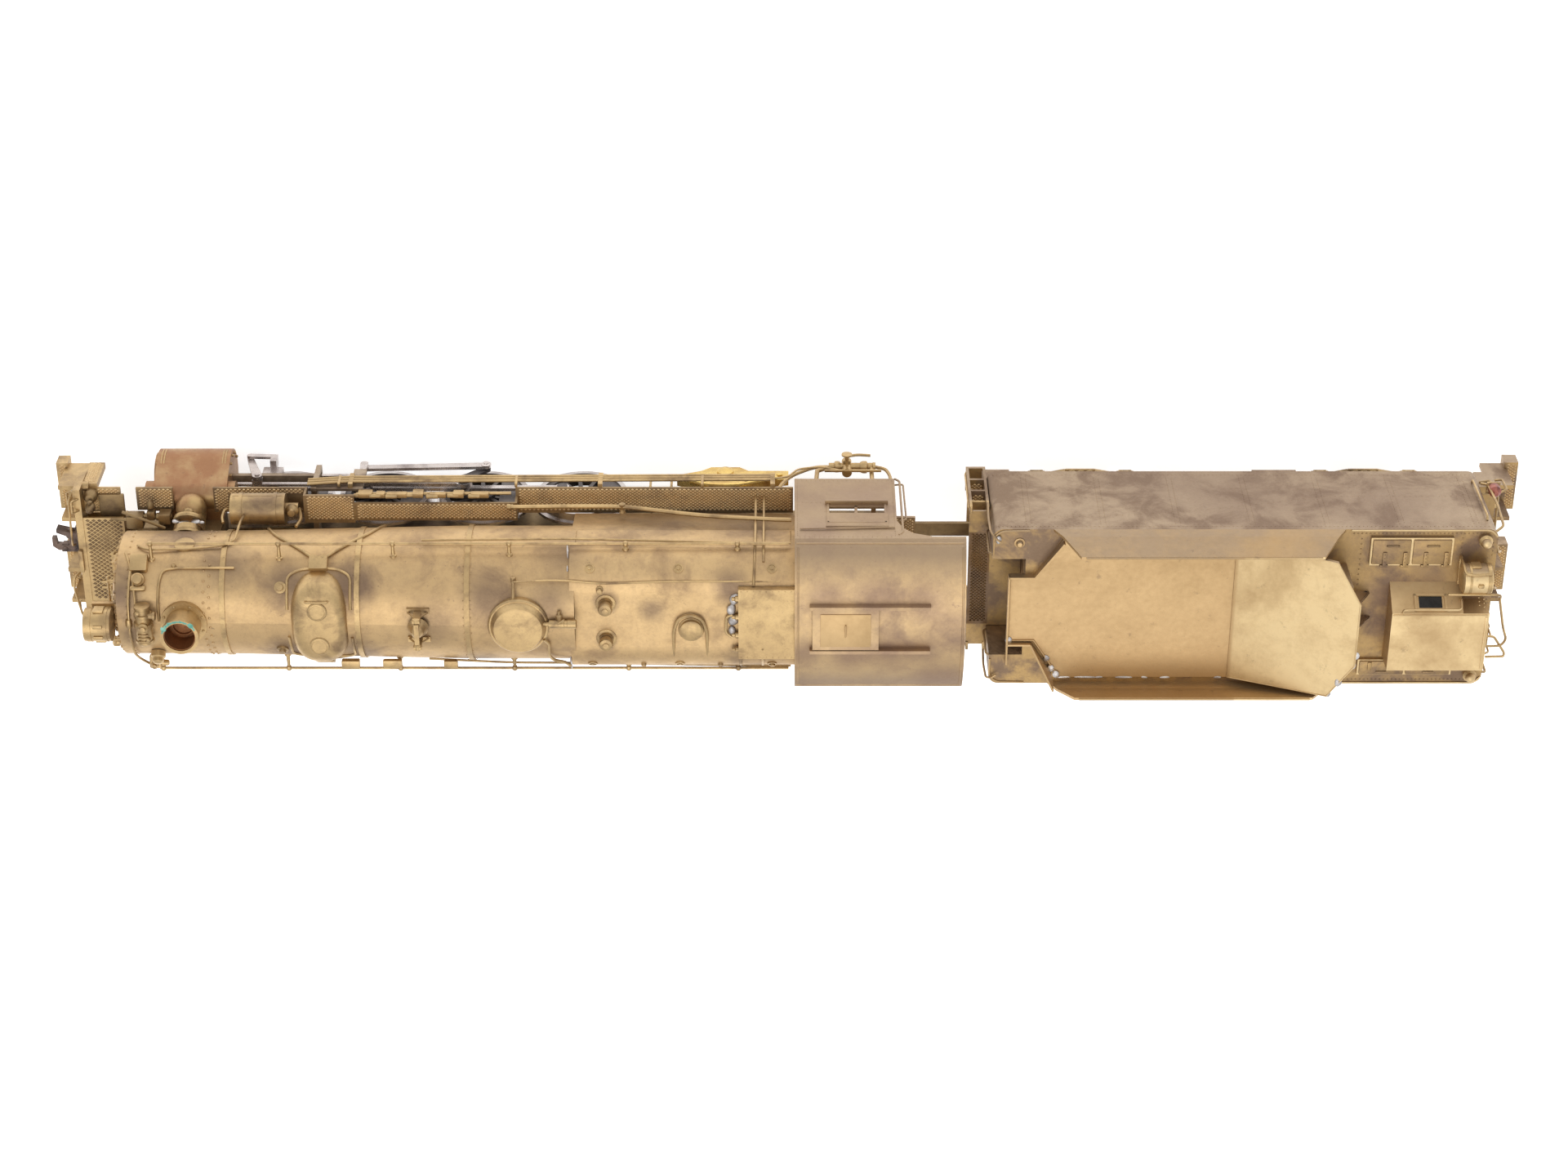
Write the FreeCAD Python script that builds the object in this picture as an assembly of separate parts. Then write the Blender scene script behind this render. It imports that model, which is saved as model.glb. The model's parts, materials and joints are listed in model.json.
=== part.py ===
import FreeCAD, Part
import math
import os

os.makedirs("parts", exist_ok=True)

# Millimetres. +X is the front, +Y the locomotive's left, +Z up. Z = 0 is the bottom of the wheel flanges.
HALF_LENGTH = 164.5
RAIL = 0.6
GAUGE_FACE = 7.2
WHEEL_OUT = 10.0
RUN = 0.06

DRIVER_R = 10.15
DRIVER_Z = RAIL + DRIVER_R
DRIVER_X = [111.3, 89.3, 67.3, 45.3]
MAIN_X = DRIVER_X[2]
CRANK = 4.4
PIN_R = 0.8
AXLE_R = 1.5

ROD_LENGTH = 42.6
ECC_THROW = 4.85
LINK_X = 94.2
LINK_FOOT_Z = 7.1
LINK_TOP_Z = 14.4
SIDE_ROD_Y = (10.6, 11.5)
MAIN_ROD_Y = (11.95, 12.85)
ECC_CRANK_Y = (12.95, 13.6)
ECC_ROD_Y = (13.8, 14.5)

BOILER_Z = 38.1
SMOKEBOX = (121.4, 141.9)
SMOKEBOX_R = 13.4
BARREL_R = 14.5
FIREBOX = (-2.3, 46.0)
FIREBOX_TOP = 50.6
FIREBOX_BOTTOM = 24.6
FIREBOX_FOOT = 12.2
FIREBOX_WAIST = 36.5
WALL = 0.8

BOARD_LOW = 22.7
BOARD_HIGH = 26.2
BOARD_T = 0.6
BOARD_OUT = 17.5
BOARD_IN = 10.7

CYL_X = (123.0, 139.2)
CYL_Y = 14.2
CYL_Z = 11.0
CYL_R = 6.2
BORE_R = 2.6
CHEST_Y = 13.6
CHEST_Z = 18.4
CHEST_R = 3.7
GUIDE_Y = (13.3, 15.3)
GUIDE_Z = (11.6, 12.8)

CAB_X = (-24.3, -2.3)
ROOF_REAR = -38.9
CAB_Y = 18.5
CAB_BOTTOM = 20.2
EAVE_Z = 47.3
ROOF_TOP = 53.8
CAB_FLOOR = 32.1
SHEET = 0.7

TENDER_X = (-153.0, -44.8)
TENDER_Y = 19.3
TENDER_BOTTOM = 18.2
DECK_Z = 44.7
BUNKER_Y = 17.4
BOARD_TOP = 54.2

LEAD_X = 137.0
LEAD_R = 4.3
LEAD_PIVOT = 121.5
TRAIL_X = 13.2
TRAIL_R = 5.6
TRAIL_PIVOT = 31.5
TRUCK_X = [-67.0, -131.0]
TRUCK_R = 5.0
TRUCK_HALF_BASE = 10.0
KING_R = 1.2
DRAW_X = (-48.5, -20.0)
DRAW_Z = (9.0, 10.0)

FRAME_FRONT = 145.9
GEAR_R = 4.2
IDLER_Z = DRIVER_Z + 2 * GEAR_R + RUN
WORM_R = 1.8
WORM_Z = IDLER_Z + GEAR_R + WORM_R + RUN
MOTOR_X = (8.0, 37.0)
MOTOR_R = 7.4

HANDRAIL_Y = 15.6
HANDRAIL_Z = 44.4
BELL_X = 78.5
BELL_HALF = 2.9
BELL_PIVOT_Z = 56.0
HATCH_X = (-20.3, -6.1)
HATCH_Y = 4.9


def vec(x, y, z):
    return FreeCAD.Vector(x, y, z)


def box(xs, ys, zs):
    size = [max(p) - min(p) for p in (xs, ys, zs)]
    return Part.makeBox(size[0], size[1], size[2], vec(min(xs), min(ys), min(zs)))


def rod_x(x0, x1, y, z, r):
    return Part.makeCylinder(r, abs(x1 - x0), vec(min(x0, x1), y, z), vec(1, 0, 0))


def rod_y(y0, y1, x, z, r):
    return Part.makeCylinder(r, abs(y1 - y0), vec(x, min(y0, y1), z), vec(0, 1, 0))


def rod_z(z0, z1, x, y, r):
    return Part.makeCylinder(r, abs(z1 - z0), vec(x, y, min(z0, z1)), vec(0, 0, 1))


def wire_rod(points, r):
    """A round wire through the points, with a ball at each bend."""
    pieces = []
    for start, end in zip(points, points[1:]):
        a = vec(*start)
        b = vec(*end)
        pieces.append(Part.makeCylinder(r, (b - a).Length, a, b - a))
    for point in points[1:-1]:
        pieces.append(Part.makeSphere(r, vec(*point)))
    return join(pieces)


def join(shapes):
    first, rest = shapes[0], shapes[1:]
    if not rest:
        return first
    return first.fuse(rest).removeSplitter()


def cut(shape, tools):
    return shape.cut(Part.makeCompound(tools))


def prism(points, direction):
    """A polygon of 3-D points pushed along a direction."""
    wire = Part.makePolygon([vec(*p) for p in points + points[:1]])
    return Part.Face(wire).extrude(vec(*direction))


def prism_xz(points, ys):
    return prism([(x, min(ys), z) for x, z in points], (0, abs(ys[1] - ys[0]), 0))


def prism_yz(points, xs):
    return prism([(min(xs), y, z) for y, z in points], (abs(xs[1] - xs[0]), 0, 0))


def prism_xy(points, zs):
    return prism([(x, y, min(zs)) for x, y in points], (0, 0, abs(zs[1] - zs[0])))


def tangent_points(a, ra, b, rb):
    """The four corners of the web that touches both circles."""
    span = math.hypot(b[0] - a[0], b[1] - a[1])
    heading = math.atan2(b[1] - a[1], b[0] - a[0])
    spread = math.acos((ra - rb) / span)
    corners = []
    for centre, r, side in ((a, ra, 1), (b, rb, 1), (b, rb, -1), (a, ra, -1)):
        angle = heading + side * spread
        corners.append((centre[0] + r * math.cos(angle), centre[1] + r * math.sin(angle)))
    return corners


def link_bar(a, ra, b, rb, ys):
    """A flat bar in the XZ plane with a round end on each point."""
    web = prism_xz(tangent_points(a, ra, b, rb), ys)
    ends = [rod_y(ys[0], ys[1], p[0], p[1], r) for p, r in ((a, ra), (b, rb))]
    return join([web] + ends)


def mirror_y(shape):
    return shape.mirror(vec(0, 0, 0), vec(0, 1, 0))


def both_sides(shape):
    return Part.makeCompound([shape, mirror_y(shape)])


def on_side(pair, side):
    """An inner and outer |Y| pair placed on the left (1) or the right (-1)."""
    return tuple(sorted((side * pair[0], side * pair[1])))


def save(shape, name):
    solids = shape.Solids
    for solid in solids:
        if not solid.isValid():
            print("not valid:", name)
    shape = solids[0] if len(solids) == 1 else Part.makeCompound(solids)
    shape.exportStep("parts/" + name + ".step")


# ---------------------------------------------------------------- wheels


def crank_pin(index, side):
    """Centre of a crank pin: the right side leads the left by a quarter turn."""
    x = DRIVER_X[index]
    if side < 0:
        return (x + CRANK, DRIVER_Z)
    return (x, DRIVER_Z + CRANK)


def plain_wheel(x, z, tread_r, side, bore_r):
    """Flange, tread and a dished face, as one turned disc with a hub."""
    y_in = side * GAUGE_FACE
    flange = rod_y(y_in, side * (GAUGE_FACE + 0.7), x, z, tread_r + RAIL)
    tread = rod_y(y_in, side * WHEEL_OUT, x, z, tread_r)
    dish = rod_y(side * (WHEEL_OUT - 0.5), side * (WHEEL_OUT + 1), x, z, tread_r - 1.0)
    hub = rod_y(y_in, side * (WHEEL_OUT - 0.1), x, z, bore_r + 1.2)
    wheel = join([cut(flange.fuse(tread), [dish]), hub])
    return cut(wheel, [rod_y(y_in - side, side * 12, x, z, bore_r)])


def small_wheelset(x, z_r, half_axle_end):
    z = RAIL + z_r
    wheels = [plain_wheel(x, z, z_r, side, 0.9) for side in (1, -1)]
    axle = rod_y(-half_axle_end, half_axle_end, x, z, 0.9)
    return join(wheels + [axle])


def driver_centre(x, side, pin):
    """Spokes, hub, counterweight and crank boss inside the tyre."""
    z = DRIVER_Z
    rim_r = DRIVER_R - 1.1
    y_in, y_out = side * (GAUGE_FACE + 0.3), side * (WHEEL_OUT - 0.3)
    ring = cut(rod_y(y_in, y_out, x, z, rim_r), [rod_y(y_in - side, y_out + side, x, z, rim_r - 1.2)])
    hub = rod_y(y_in, side * WHEEL_OUT, x, z, 2.6)
    boss = link_bar((x, z), 2.4, pin, 1.9, on_side((GAUGE_FACE + 0.3, WHEEL_OUT), side))
    spokes = []
    for k in range(13):
        spoke = box((2.0, rim_r - 0.6), on_side((GAUGE_FACE + 0.7, WHEEL_OUT - 0.8), side), (-0.45, 0.45))
        spoke.rotate(vec(0, 0, 0), vec(0, 1, 0), 360.0 * k / 13)
        spoke.translate(vec(x, 0, z))
        spokes.append(spoke)
    weight = rod_y(y_in, y_out, x, z, rim_r - 0.6)
    chord = box((-12, 12), (-12, 12), (-3.6, 16))
    heading = math.degrees(math.atan2(pin[1] - z, pin[0] - x))
    chord.rotate(vec(0, 0, 0), vec(0, 1, 0), 90 - heading)
    chord.translate(vec(x, 0, z))
    weight = weight.cut(chord)
    return join([ring, hub, boss, weight] + spokes)


def driver_tyre(x, side):
    z = DRIVER_Z
    y_in = side * GAUGE_FACE
    flange = rod_y(y_in, side * (GAUGE_FACE + 0.7), x, z, DRIVER_R + RAIL)
    tread = rod_y(y_in, side * WHEEL_OUT, x, z, DRIVER_R)
    return cut(flange.fuse(tread), [rod_y(y_in - side, side * 12, x, z, DRIVER_R - 1.1)])


def eccentric_pin(side):
    """The return crank's pin, a quarter turn behind the main pin."""
    if side < 0:
        return (MAIN_X - 0.3, DRIVER_Z - ECC_THROW)
    return (MAIN_X + ECC_THROW, DRIVER_Z - 0.3)


def driver(index):
    x = DRIVER_X[index]
    pieces = []
    for side in (1, -1):
        pin = crank_pin(index, side)
        pieces.append(driver_centre(x, side, pin))
        if index == 2:
            pieces.append(rod_y(side * 9, side * ECC_CRANK_Y[1], pin[0], pin[1], PIN_R))
            end = eccentric_pin(side)
            pieces.append(link_bar(pin, 1.3, end, 1.0, on_side(ECC_CRANK_Y, side)))
            pieces.append(rod_y(side * 13, side * 14.6, end[0], end[1], 0.55))
        else:
            pieces.append(rod_y(side * 9, side * 11.7, pin[0], pin[1], PIN_R))
            pieces.append(rod_y(side * 11.56, side * 11.8, pin[0], pin[1], 1.15))
    pieces.append(rod_y(-GAUGE_FACE - 1, GAUGE_FACE + 1, x, DRIVER_Z, AXLE_R))
    centres = join(pieces)
    save(Part.makeCompound([centres, driver_tyre(x, 1), driver_tyre(x, -1)]), "driver_%d" % (index + 1))


# ---------------------------------------------------------------- rods and valve gear


def side_rod(side):
    ys = on_side(SIDE_ROD_Y, side)
    pins = [crank_pin(i, side) for i in range(4)]
    pieces = [rod_y(ys[0], ys[1], p[0], p[1], 1.55) for p in pins]
    for a, b in zip(pins, pins[1:]):
        pieces.append(box((b[0], a[0]), (ys[0] + 0.1, ys[1] - 0.1), (a[1] - 0.75, a[1] + 0.75)))
    holes = [rod_y(ys[0] - 1, ys[1] + 1, p[0], p[1], PIN_R + RUN) for p in pins]
    return cut(join(pieces), holes)


def crosshead_x(side):
    pin = crank_pin(2, side)
    drop = pin[1] - DRIVER_Z
    return pin[0] + math.sqrt(ROD_LENGTH ** 2 - drop ** 2)


def main_rod(side):
    ys = on_side(MAIN_ROD_Y, side)
    back = crank_pin(2, side)
    front = (crosshead_x(side), DRIVER_Z)
    bar = link_bar(back, 1.0, front, 0.8, ys)
    eyes = [rod_y(ys[0], ys[1], back[0], back[1], 1.9), rod_y(ys[0], ys[1], front[0], front[1], 1.4)]
    holes = [rod_y(ys[0] - 1, ys[1] + 1, back[0], back[1], PIN_R + RUN)]
    holes.append(rod_y(ys[0] - 1, ys[1] + 1, front[0], front[1], 0.6))
    return cut(join([bar] + eyes), holes)


def eccentric_rod(side):
    ys = on_side(ECC_ROD_Y, side)
    back = eccentric_pin(side)
    front = (LINK_X, LINK_FOOT_Z)
    bar = link_bar(back, 1.0, front, 0.9, ys)
    hole = rod_y(ys[0] - 1, ys[1] + 1, back[0], back[1], 0.55 + RUN)
    return cut(bar, [hole])


def crosshead(side):
    """Piston, piston rod, crosshead block and the arm and link that reach the combination lever."""
    x = crosshead_x(side)
    y = side * CYL_Y
    block = box((x - 2.2, x + 2.2), on_side(GUIDE_Y, side), (8.6, GUIDE_Z[0] - RUN))
    pin = rod_y(side * 13.0, side * 15.3, x, DRIVER_Z, 0.6)
    rod = rod_x(x + 2.0, x + 22.6, y, CYL_Z, 0.6)
    piston = rod_x(x + 21.4, x + 22.6, y, CYL_Z, BORE_R - RUN)
    arm = box((x - 0.7, x + 0.7), on_side((14.6, 17.1), side), (6.0, 9.2))
    union = link_bar((x, 6.6), 0.7, (x + 5.5, 6.3), 0.7, on_side((16.5, 17.1), side))
    return join([block, pin, rod, piston, arm, union])


def lever_pivot_x(side):
    return crosshead_x(side) + 2.9


def combination_lever(side):
    x = lever_pivot_x(side)
    ys = on_side((15.6, 16.3), side)
    foot = (x + 2.6, 6.3)
    bar = link_bar((x, LINK_TOP_Z), 1.1, foot, 0.7, ys)
    return cut(bar, [rod_y(ys[0] - 1, ys[1] + 1, x, LINK_TOP_Z, 0.5 + RUN)])


def valve_rod(side):
    """Valve stem in the steam chest, lever pin and radius rod back to the link."""
    x = lever_pivot_x(side)
    y = side * 14.0
    stem = rod_x(101.6, 124.6, y, LINK_TOP_Z, 0.5)
    block = box((x - 1.1, x + 1.1), on_side((13.4, 15.4), side), (LINK_TOP_Z - 0.8, LINK_TOP_Z + 0.8))
    pin = rod_y(side * 15.0, side * 16.6, x, LINK_TOP_Z, 0.5)
    jog = box((101.6, 102.8), on_side((13.6, 16.4), side), (LINK_TOP_Z - 0.5, LINK_TOP_Z + 0.5))
    radius = link_bar((LINK_X + 0.4, LINK_TOP_Z), 0.5, (102.2, LINK_TOP_Z), 0.5, on_side((15.8, 16.4), side))
    return join([stem, block, pin, jog, radius])


def expansion_link(side):
    """Curved link on its trunnion, with the foot that meets the eccentric rod."""
    ys = on_side((14.8, 15.5), side)
    upper = link_bar((LINK_X, LINK_TOP_Z + 3.2), 0.7, (LINK_X, LINK_TOP_Z - 3.2), 0.7, ys)
    middle = rod_y(ys[0], ys[1], LINK_X, LINK_TOP_Z, 1.2)
    foot = link_bar((LINK_X, LINK_TOP_Z - 3.2), 0.6, (LINK_X, LINK_FOOT_Z), 0.9, ys)
    return cut(join([upper, middle, foot]), [rod_y(ys[0] - 1, ys[1] + 1, LINK_X, LINK_TOP_Z, 0.5 + RUN)])


def guide_assembly(side):
    """Crosshead guide bar, its yoke and the link bracket, hung from the running board."""
    bar = box((103.0, 122.6), on_side(GUIDE_Y, side), GUIDE_Z)
    front = box((121.6, 123.0), on_side(GUIDE_Y, side), GUIDE_Z)
    hanger_low = box((103.0, 104.2), on_side((14.0, 17.4), side), GUIDE_Z)
    hanger = box((103.0, 104.2), on_side((16.6, 17.4), side), (GUIDE_Z[0], BOARD_LOW))
    yoke = box((103.0, 104.2), on_side((3.0, 17.4), side), (19.1, 22.0))
    yoke = yoke.fuse(box((103.0, 104.2), on_side((3.0, 4.6), side), (17.5, 19.3)))
    bracket = box((LINK_X - 1.4, LINK_X + 1.4), on_side((16.6, 17.2), side), (LINK_TOP_Z - 1.2, 22.5))
    pin = rod_y(side * 14.7, side * 17.0, LINK_X, LINK_TOP_Z, 0.5)
    shelf = box((LINK_X - 1.4, 104.2), on_side((16.6, 17.2), side), (20.6, 22.5))
    slot = box((LINK_X - 3.2, LINK_X + 9), on_side((15.6, 16.5), side), (LINK_TOP_Z - 0.7, LINK_TOP_Z + 0.7))
    return cut(join([bar, front, hanger_low, hanger, yoke, bracket, pin, shelf]), [slot])


def running_gear():
    for side, word in ((-1, "right"), (1, "left")):
        save(side_rod(side), "side_rod_" + word)
        save(main_rod(side), "main_rod_" + word)
        save(eccentric_rod(side), "eccentric_rod_" + word)
        save(crosshead(side), "crosshead_" + word)
        save(combination_lever(side), "combination_lever_" + word)
        save(valve_rod(side), "valve_rod_" + word)
        save(expansion_link(side), "expansion_link_" + word)
    save(Part.makeCompound([guide_assembly(-1), guide_assembly(1)]), "crosshead_guides")


# ---------------------------------------------------------------- frame, drive and cylinders


def main_frame():
    """Two side plates with axle bearings, joined by cross members."""
    outline = [(-23.0, 9.4), (-23.0, 17.5), (FRAME_FRONT, 17.5), (FRAME_FRONT, 10.6), (118.4,
                                                                                       10.6), (118.4, 6.6),
               (36.0, 6.6), (34.0, 9.4)]
    plates = [prism_xz(outline, on_side((3.0, 4.6), side)) for side in (1, -1)]
    crosses = []
    for xs, zs in (((-23.0, -16.0), (11.2, 17.5)), ((29.0, 34.0), (10.6, 17.5)), ((76.0, 81.0), (8.0, 17.5)),
                   ((98.5, 102.5), (8.0, 17.5)), ((119.0, FRAME_FRONT), (12.2, 17.5))):
        crosses.append(box(xs, (-3.2, 3.2), zs))
    pins = [rod_z(8.0, 12.0, DRAW_X[1], 0, 1.0), rod_z(8.0, 8.6, DRAW_X[1], 0, 1.8)]
    pins += [rod_z(6.0, 13.0, LEAD_PIVOT, 0, 0.8), rod_z(5.9, 6.5, LEAD_PIVOT, 0, 1.5)]
    pins += [rod_z(6.4, 11.0, TRAIL_PIVOT, 0, 0.8), rod_z(6.3, 6.9, TRAIL_PIVOT, 0, 1.5)]
    bores = [rod_y(-6, 6, x, DRIVER_Z, AXLE_R + RUN) for x in DRIVER_X]
    saddle = box((124.0, 138.2), (-9.0, 9.0), (17.4, 31.0))
    saddle = saddle.cut(rod_x(120, 145, 0, BOILER_Z, SMOKEBOX_R))
    frame = cut(join(plates + crosses + pins + [saddle]), bores)
    save(frame, "main_frame")


def gear_train():
    ring = rod_y(-1.2, 1.2, MAIN_X, DRIVER_Z, GEAR_R)
    save(cut(ring, [rod_y(-2, 2, MAIN_X, DRIVER_Z, AXLE_R)]), "axle_gear")
    idler = rod_y(-1.2, 1.2, MAIN_X, IDLER_Z, GEAR_R)
    save(cut(idler, [rod_y(-2, 2, MAIN_X, IDLER_Z, 0.8 + RUN)]), "idler_gear")
    cheeks = []
    for side in (1, -1):
        cheek = box((MAIN_X - 5.4, MAIN_X + 5.4), on_side((1.95, 2.9), side), (DRIVER_Z - 2.6, WORM_Z + 2.0))
        cheeks.append(cut(cheek, [rod_y(side, side * 4, MAIN_X, DRIVER_Z, AXLE_R + RUN)]))
    for x in (MAIN_X - 5.4, MAIN_X + 4.2):
        wall = box((x, x + 1.2), (-2.9, 2.9), (WORM_Z - 2.4, WORM_Z + 2.0))
        cheeks.append(wall.cut(rod_x(x - 1, x + 3, 0, WORM_Z, 0.7 + RUN)))
    cheeks.append(rod_y(-2.2, 2.2, MAIN_X, IDLER_Z, 0.8))
    save(join(cheeks), "gearbox")
    shaft = rod_x(MOTOR_X[1] - 3.0, MAIN_X + 5.8, 0, WORM_Z, 0.7)
    worm = rod_x(MAIN_X - 3.6, MAIN_X + 3.6, 0, WORM_Z, WORM_R)
    flywheel = rod_x(42.0, 56.0, 0, WORM_Z, 2.6)
    save(join([shaft, worm, flywheel]), "worm_shaft")


def motor():
    can = rod_x(MOTOR_X[0], MOTOR_X[1], 0, WORM_Z, MOTOR_R)
    cap = rod_x(MOTOR_X[0] - 1.5, MOTOR_X[0], 0, WORM_Z, 3.0)
    hole = rod_x(MOTOR_X[1] - 4.0, MOTOR_X[1] + 1, 0, WORM_Z, 0.7 + RUN)
    foot = box((16.0, 26.0), (-4.0, 4.0), (17.5, 19.0))
    save(cut(join([can, cap, foot]), [hole]), "motor")


def cylinder_side():
    low = (-CYL_Y, CYL_Z)
    high = (-CHEST_Y, CHEST_Z)
    jacket = prism_yz(tangent_points(low, CYL_R, high, CHEST_R), CYL_X)
    pieces = [jacket, rod_x(CYL_X[0], CYL_X[1], low[0], low[1], CYL_R)]
    pieces.append(rod_x(CYL_X[0], CYL_X[1], high[0], high[1], CHEST_R))
    pieces.append(rod_x(CYL_X[0] - 1.6, CYL_X[1] + 2.0, high[0], high[1], CHEST_R - 0.7))
    pieces.append(rod_x(CYL_X[1], CYL_X[1] + 0.6, low[0], low[1], CYL_R - 0.8))
    pieces.append(rod_x(CYL_X[1], CYL_X[1] + 1.2, low[0], low[1], 2.0))
    pieces.append(box((124.0, 138.2), (-12.0, -9.0), (17.4, 21.6)))
    elbow = Part.makeCone(2.9, 3.5, 10.0, vec(130.6, -13.0, 19.6), vec(0, 0.35, 1))
    elbow = elbow.cut(box((120, 142), (-9.0, 9.0), (17, 32)))
    pieces.append(elbow.cut(rod_x(120, 145, 0, BOILER_Z, SMOKEBOX_R)))
    pieces.append(Part.makeSphere(3.3, vec(130.6, -13.2, 24.2)))
    holes = [rod_x(CYL_X[0] + 1.2, CYL_X[1] - 0.8, low[0], low[1], BORE_R)]
    holes.append(rod_x(CYL_X[0] - 1, CYL_X[0] + 3, low[0], low[1], 0.7))
    holes.append(rod_x(CYL_X[0] - 2, CYL_X[0] + 4, -14.0, LINK_TOP_Z, 0.6))
    holes.append(box((120, 141), (-11.2, 0), (2, 10.4)))
    return cut(join(pieces), holes)


def cylinders():
    save(both_sides(cylinder_side()), "cylinders")


# ---------------------------------------------------------------- boiler


def boiler_outline(offset):
    """Half profile of the round boiler: (x, radius) from the smokebox back to the firebox."""
    return [(SMOKEBOX[1], SMOKEBOX_R - offset), (SMOKEBOX[0], SMOKEBOX_R - offset),
            (70.0, BARREL_R - offset), (FIREBOX[1] - 1.0, BARREL_R - offset)]


def turned_shell(offset):
    outline = boiler_outline(offset)
    points = [(x, 0, BOILER_Z + r) for x, r in outline]
    points += [(outline[-1][0], 0, BOILER_Z), (outline[0][0], 0, BOILER_Z)]
    face = Part.Face(Part.makePolygon([vec(*p) for p in points + points[:1]]))
    return face.revolve(vec(0, 0, BOILER_Z), vec(1, 0, 0), 360)


def firebox_block(offset, xs):
    """Round-shouldered firebox section, pushed along X."""
    half = BARREL_R - offset
    top = FIREBOX_TOP - offset
    r = 8.0 - offset
    wedge = r * (1 - math.cos(math.pi / 4))
    x = min(xs)
    low = FIREBOX_BOTTOM
    waist = FIREBOX_WAIST
    foot = FIREBOX_FOOT - offset
    edges = [Part.makeLine(vec(x, -foot, low), vec(x, -half, waist))]
    edges.append(Part.makeLine(vec(x, -half, waist), vec(x, -half, top - r)))
    edges.append(Part.Arc(vec(x, -half, top - r), vec(x, -half + wedge, top - wedge), vec(x, -half + r, top)))
    edges.append(Part.makeLine(vec(x, -half + r, top), vec(x, half - r, top)))
    edges.append(Part.Arc(vec(x, half - r, top), vec(x, half - wedge, top - wedge), vec(x, half, top - r)))
    edges.append(Part.makeLine(vec(x, half, top - r), vec(x, half, waist)))
    edges.append(Part.makeLine(vec(x, half, waist), vec(x, foot, low)))
    edges.append(Part.makeLine(vec(x, foot, low), vec(x, -foot, low)))
    shapes = [e.toShape() if isinstance(e, Part.Arc) else e for e in edges]
    return Part.Face(Part.Wire(shapes)).extrude(vec(abs(xs[1] - xs[0]), 0, 0))


def boiler_solid():
    return join([turned_shell(0), firebox_block(0, FIREBOX)])


def boiler():
    outer = boiler_solid()
    inner = firebox_block(WALL, (FIREBOX[0] + WALL, FIREBOX[1] - WALL))
    inner = inner.fuse(box((FIREBOX[0] + WALL, FIREBOX[1] - WALL), (-11.4, 11.4), (20, 26)))
    tube = turned_shell(WALL)
    tube = tube.common(box((40, 118), (-20, 20), (10, 60)))
    gear_slot = box((FIREBOX[1] - 4, MAIN_X + 6.4), (-3.4, 3.4), (20, 30))
    save(cut(outer, [inner, tube, gear_slot]), "boiler")


def boiler_bands():
    bands = []
    for x in (120.6, 91.6, 68.0):
        r = SMOKEBOX_R + (BARREL_R - SMOKEBOX_R) * min(1.0, (SMOKEBOX[0] - x) / (SMOKEBOX[0] - 70.0))
        ring = rod_x(x - 0.55, x + 0.55, 0, BOILER_Z, r + 0.3)
        bands.append(ring.cut(box((x - 1, x + 1), (-4.4, 4.4), (20, 30))))
    return bands


def smokebox_front():
    x = SMOKEBOX[1]
    disc = rod_x(x, x + 1.4, 0, BOILER_Z, SMOKEBOX_R)
    rim = rod_x(x + 1.4, x + 2.2, 0, BOILER_Z, SMOKEBOX_R - 2.2)
    door = Part.makeCone(8.6, 5.0, 1.6, vec(x + 2.2, 0, BOILER_Z), vec(1, 0, 0))
    shelf = box((x + 1.4, x + 7.2), (-3.0, 3.0), (47.3, 48.3))
    save(join([disc, rim, door, shelf]), "smokebox_front")


def headlight():
    drum = rod_x(144.3, 149.2, 0, 52.0, 3.6)
    socket = rod_x(148.4, 150.4, 0, 52.0, 2.9)
    foot = box((144.8, 148.6), (-1.6, 1.6), (48.3, 49.6))
    visor = cut(rod_x(149.2, 150.0, 0, 52.0, 3.6), [rod_x(148, 151, 0, 52.0, 3.1)])
    save(join([cut(drum, [socket]), foot, visor]), "headlight")


def stack():
    base = cut(rod_z(46, 51.9, 129.0, 0, 5.0), [rod_x(120, 140, 0, BOILER_Z, SMOKEBOX_R)])
    tube = cut(rod_z(49, 56.9, 129.0, 0, 3.8), [rod_x(120, 140, 0, BOILER_Z, SMOKEBOX_R)])
    lip = rod_z(56.6, 57.5, 129.0, 0, 4.15)
    save(cut(join([base, tube, lip]), [rod_z(51.6, 60, 129.0, 0, 3.4)]), "stack")


def sand_dome():
    """A wide saddle-shaped box over the barrel, with two filler hatches."""
    box_part = box((93.35, 106.25), (-10.5, 10.5), (44, 54.1))
    shape = box_part.makeFillet(3.0, [e for e in box_part.Edges if abs(e.tangentAt(0).x) > 0.9
                                      and e.CenterOfMass.z > 50])
    hatches = [rod_z(53, 54.9, 99.8, y, 2.1) for y in (-4.25, 4.25)]
    save(join([shape] + hatches).cut(boiler_solid()), "sand_dome")


def steam_dome():
    body = rod_z(50.0, 52.9, 57.0, 0, 6.4)
    body = body.fuse(Part.makeCone(6.1, 5.2, 1.7, vec(57.0, 0, 52.9)))
    body = body.cut(boiler_solid())
    save(body, "steam_dome")


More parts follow.
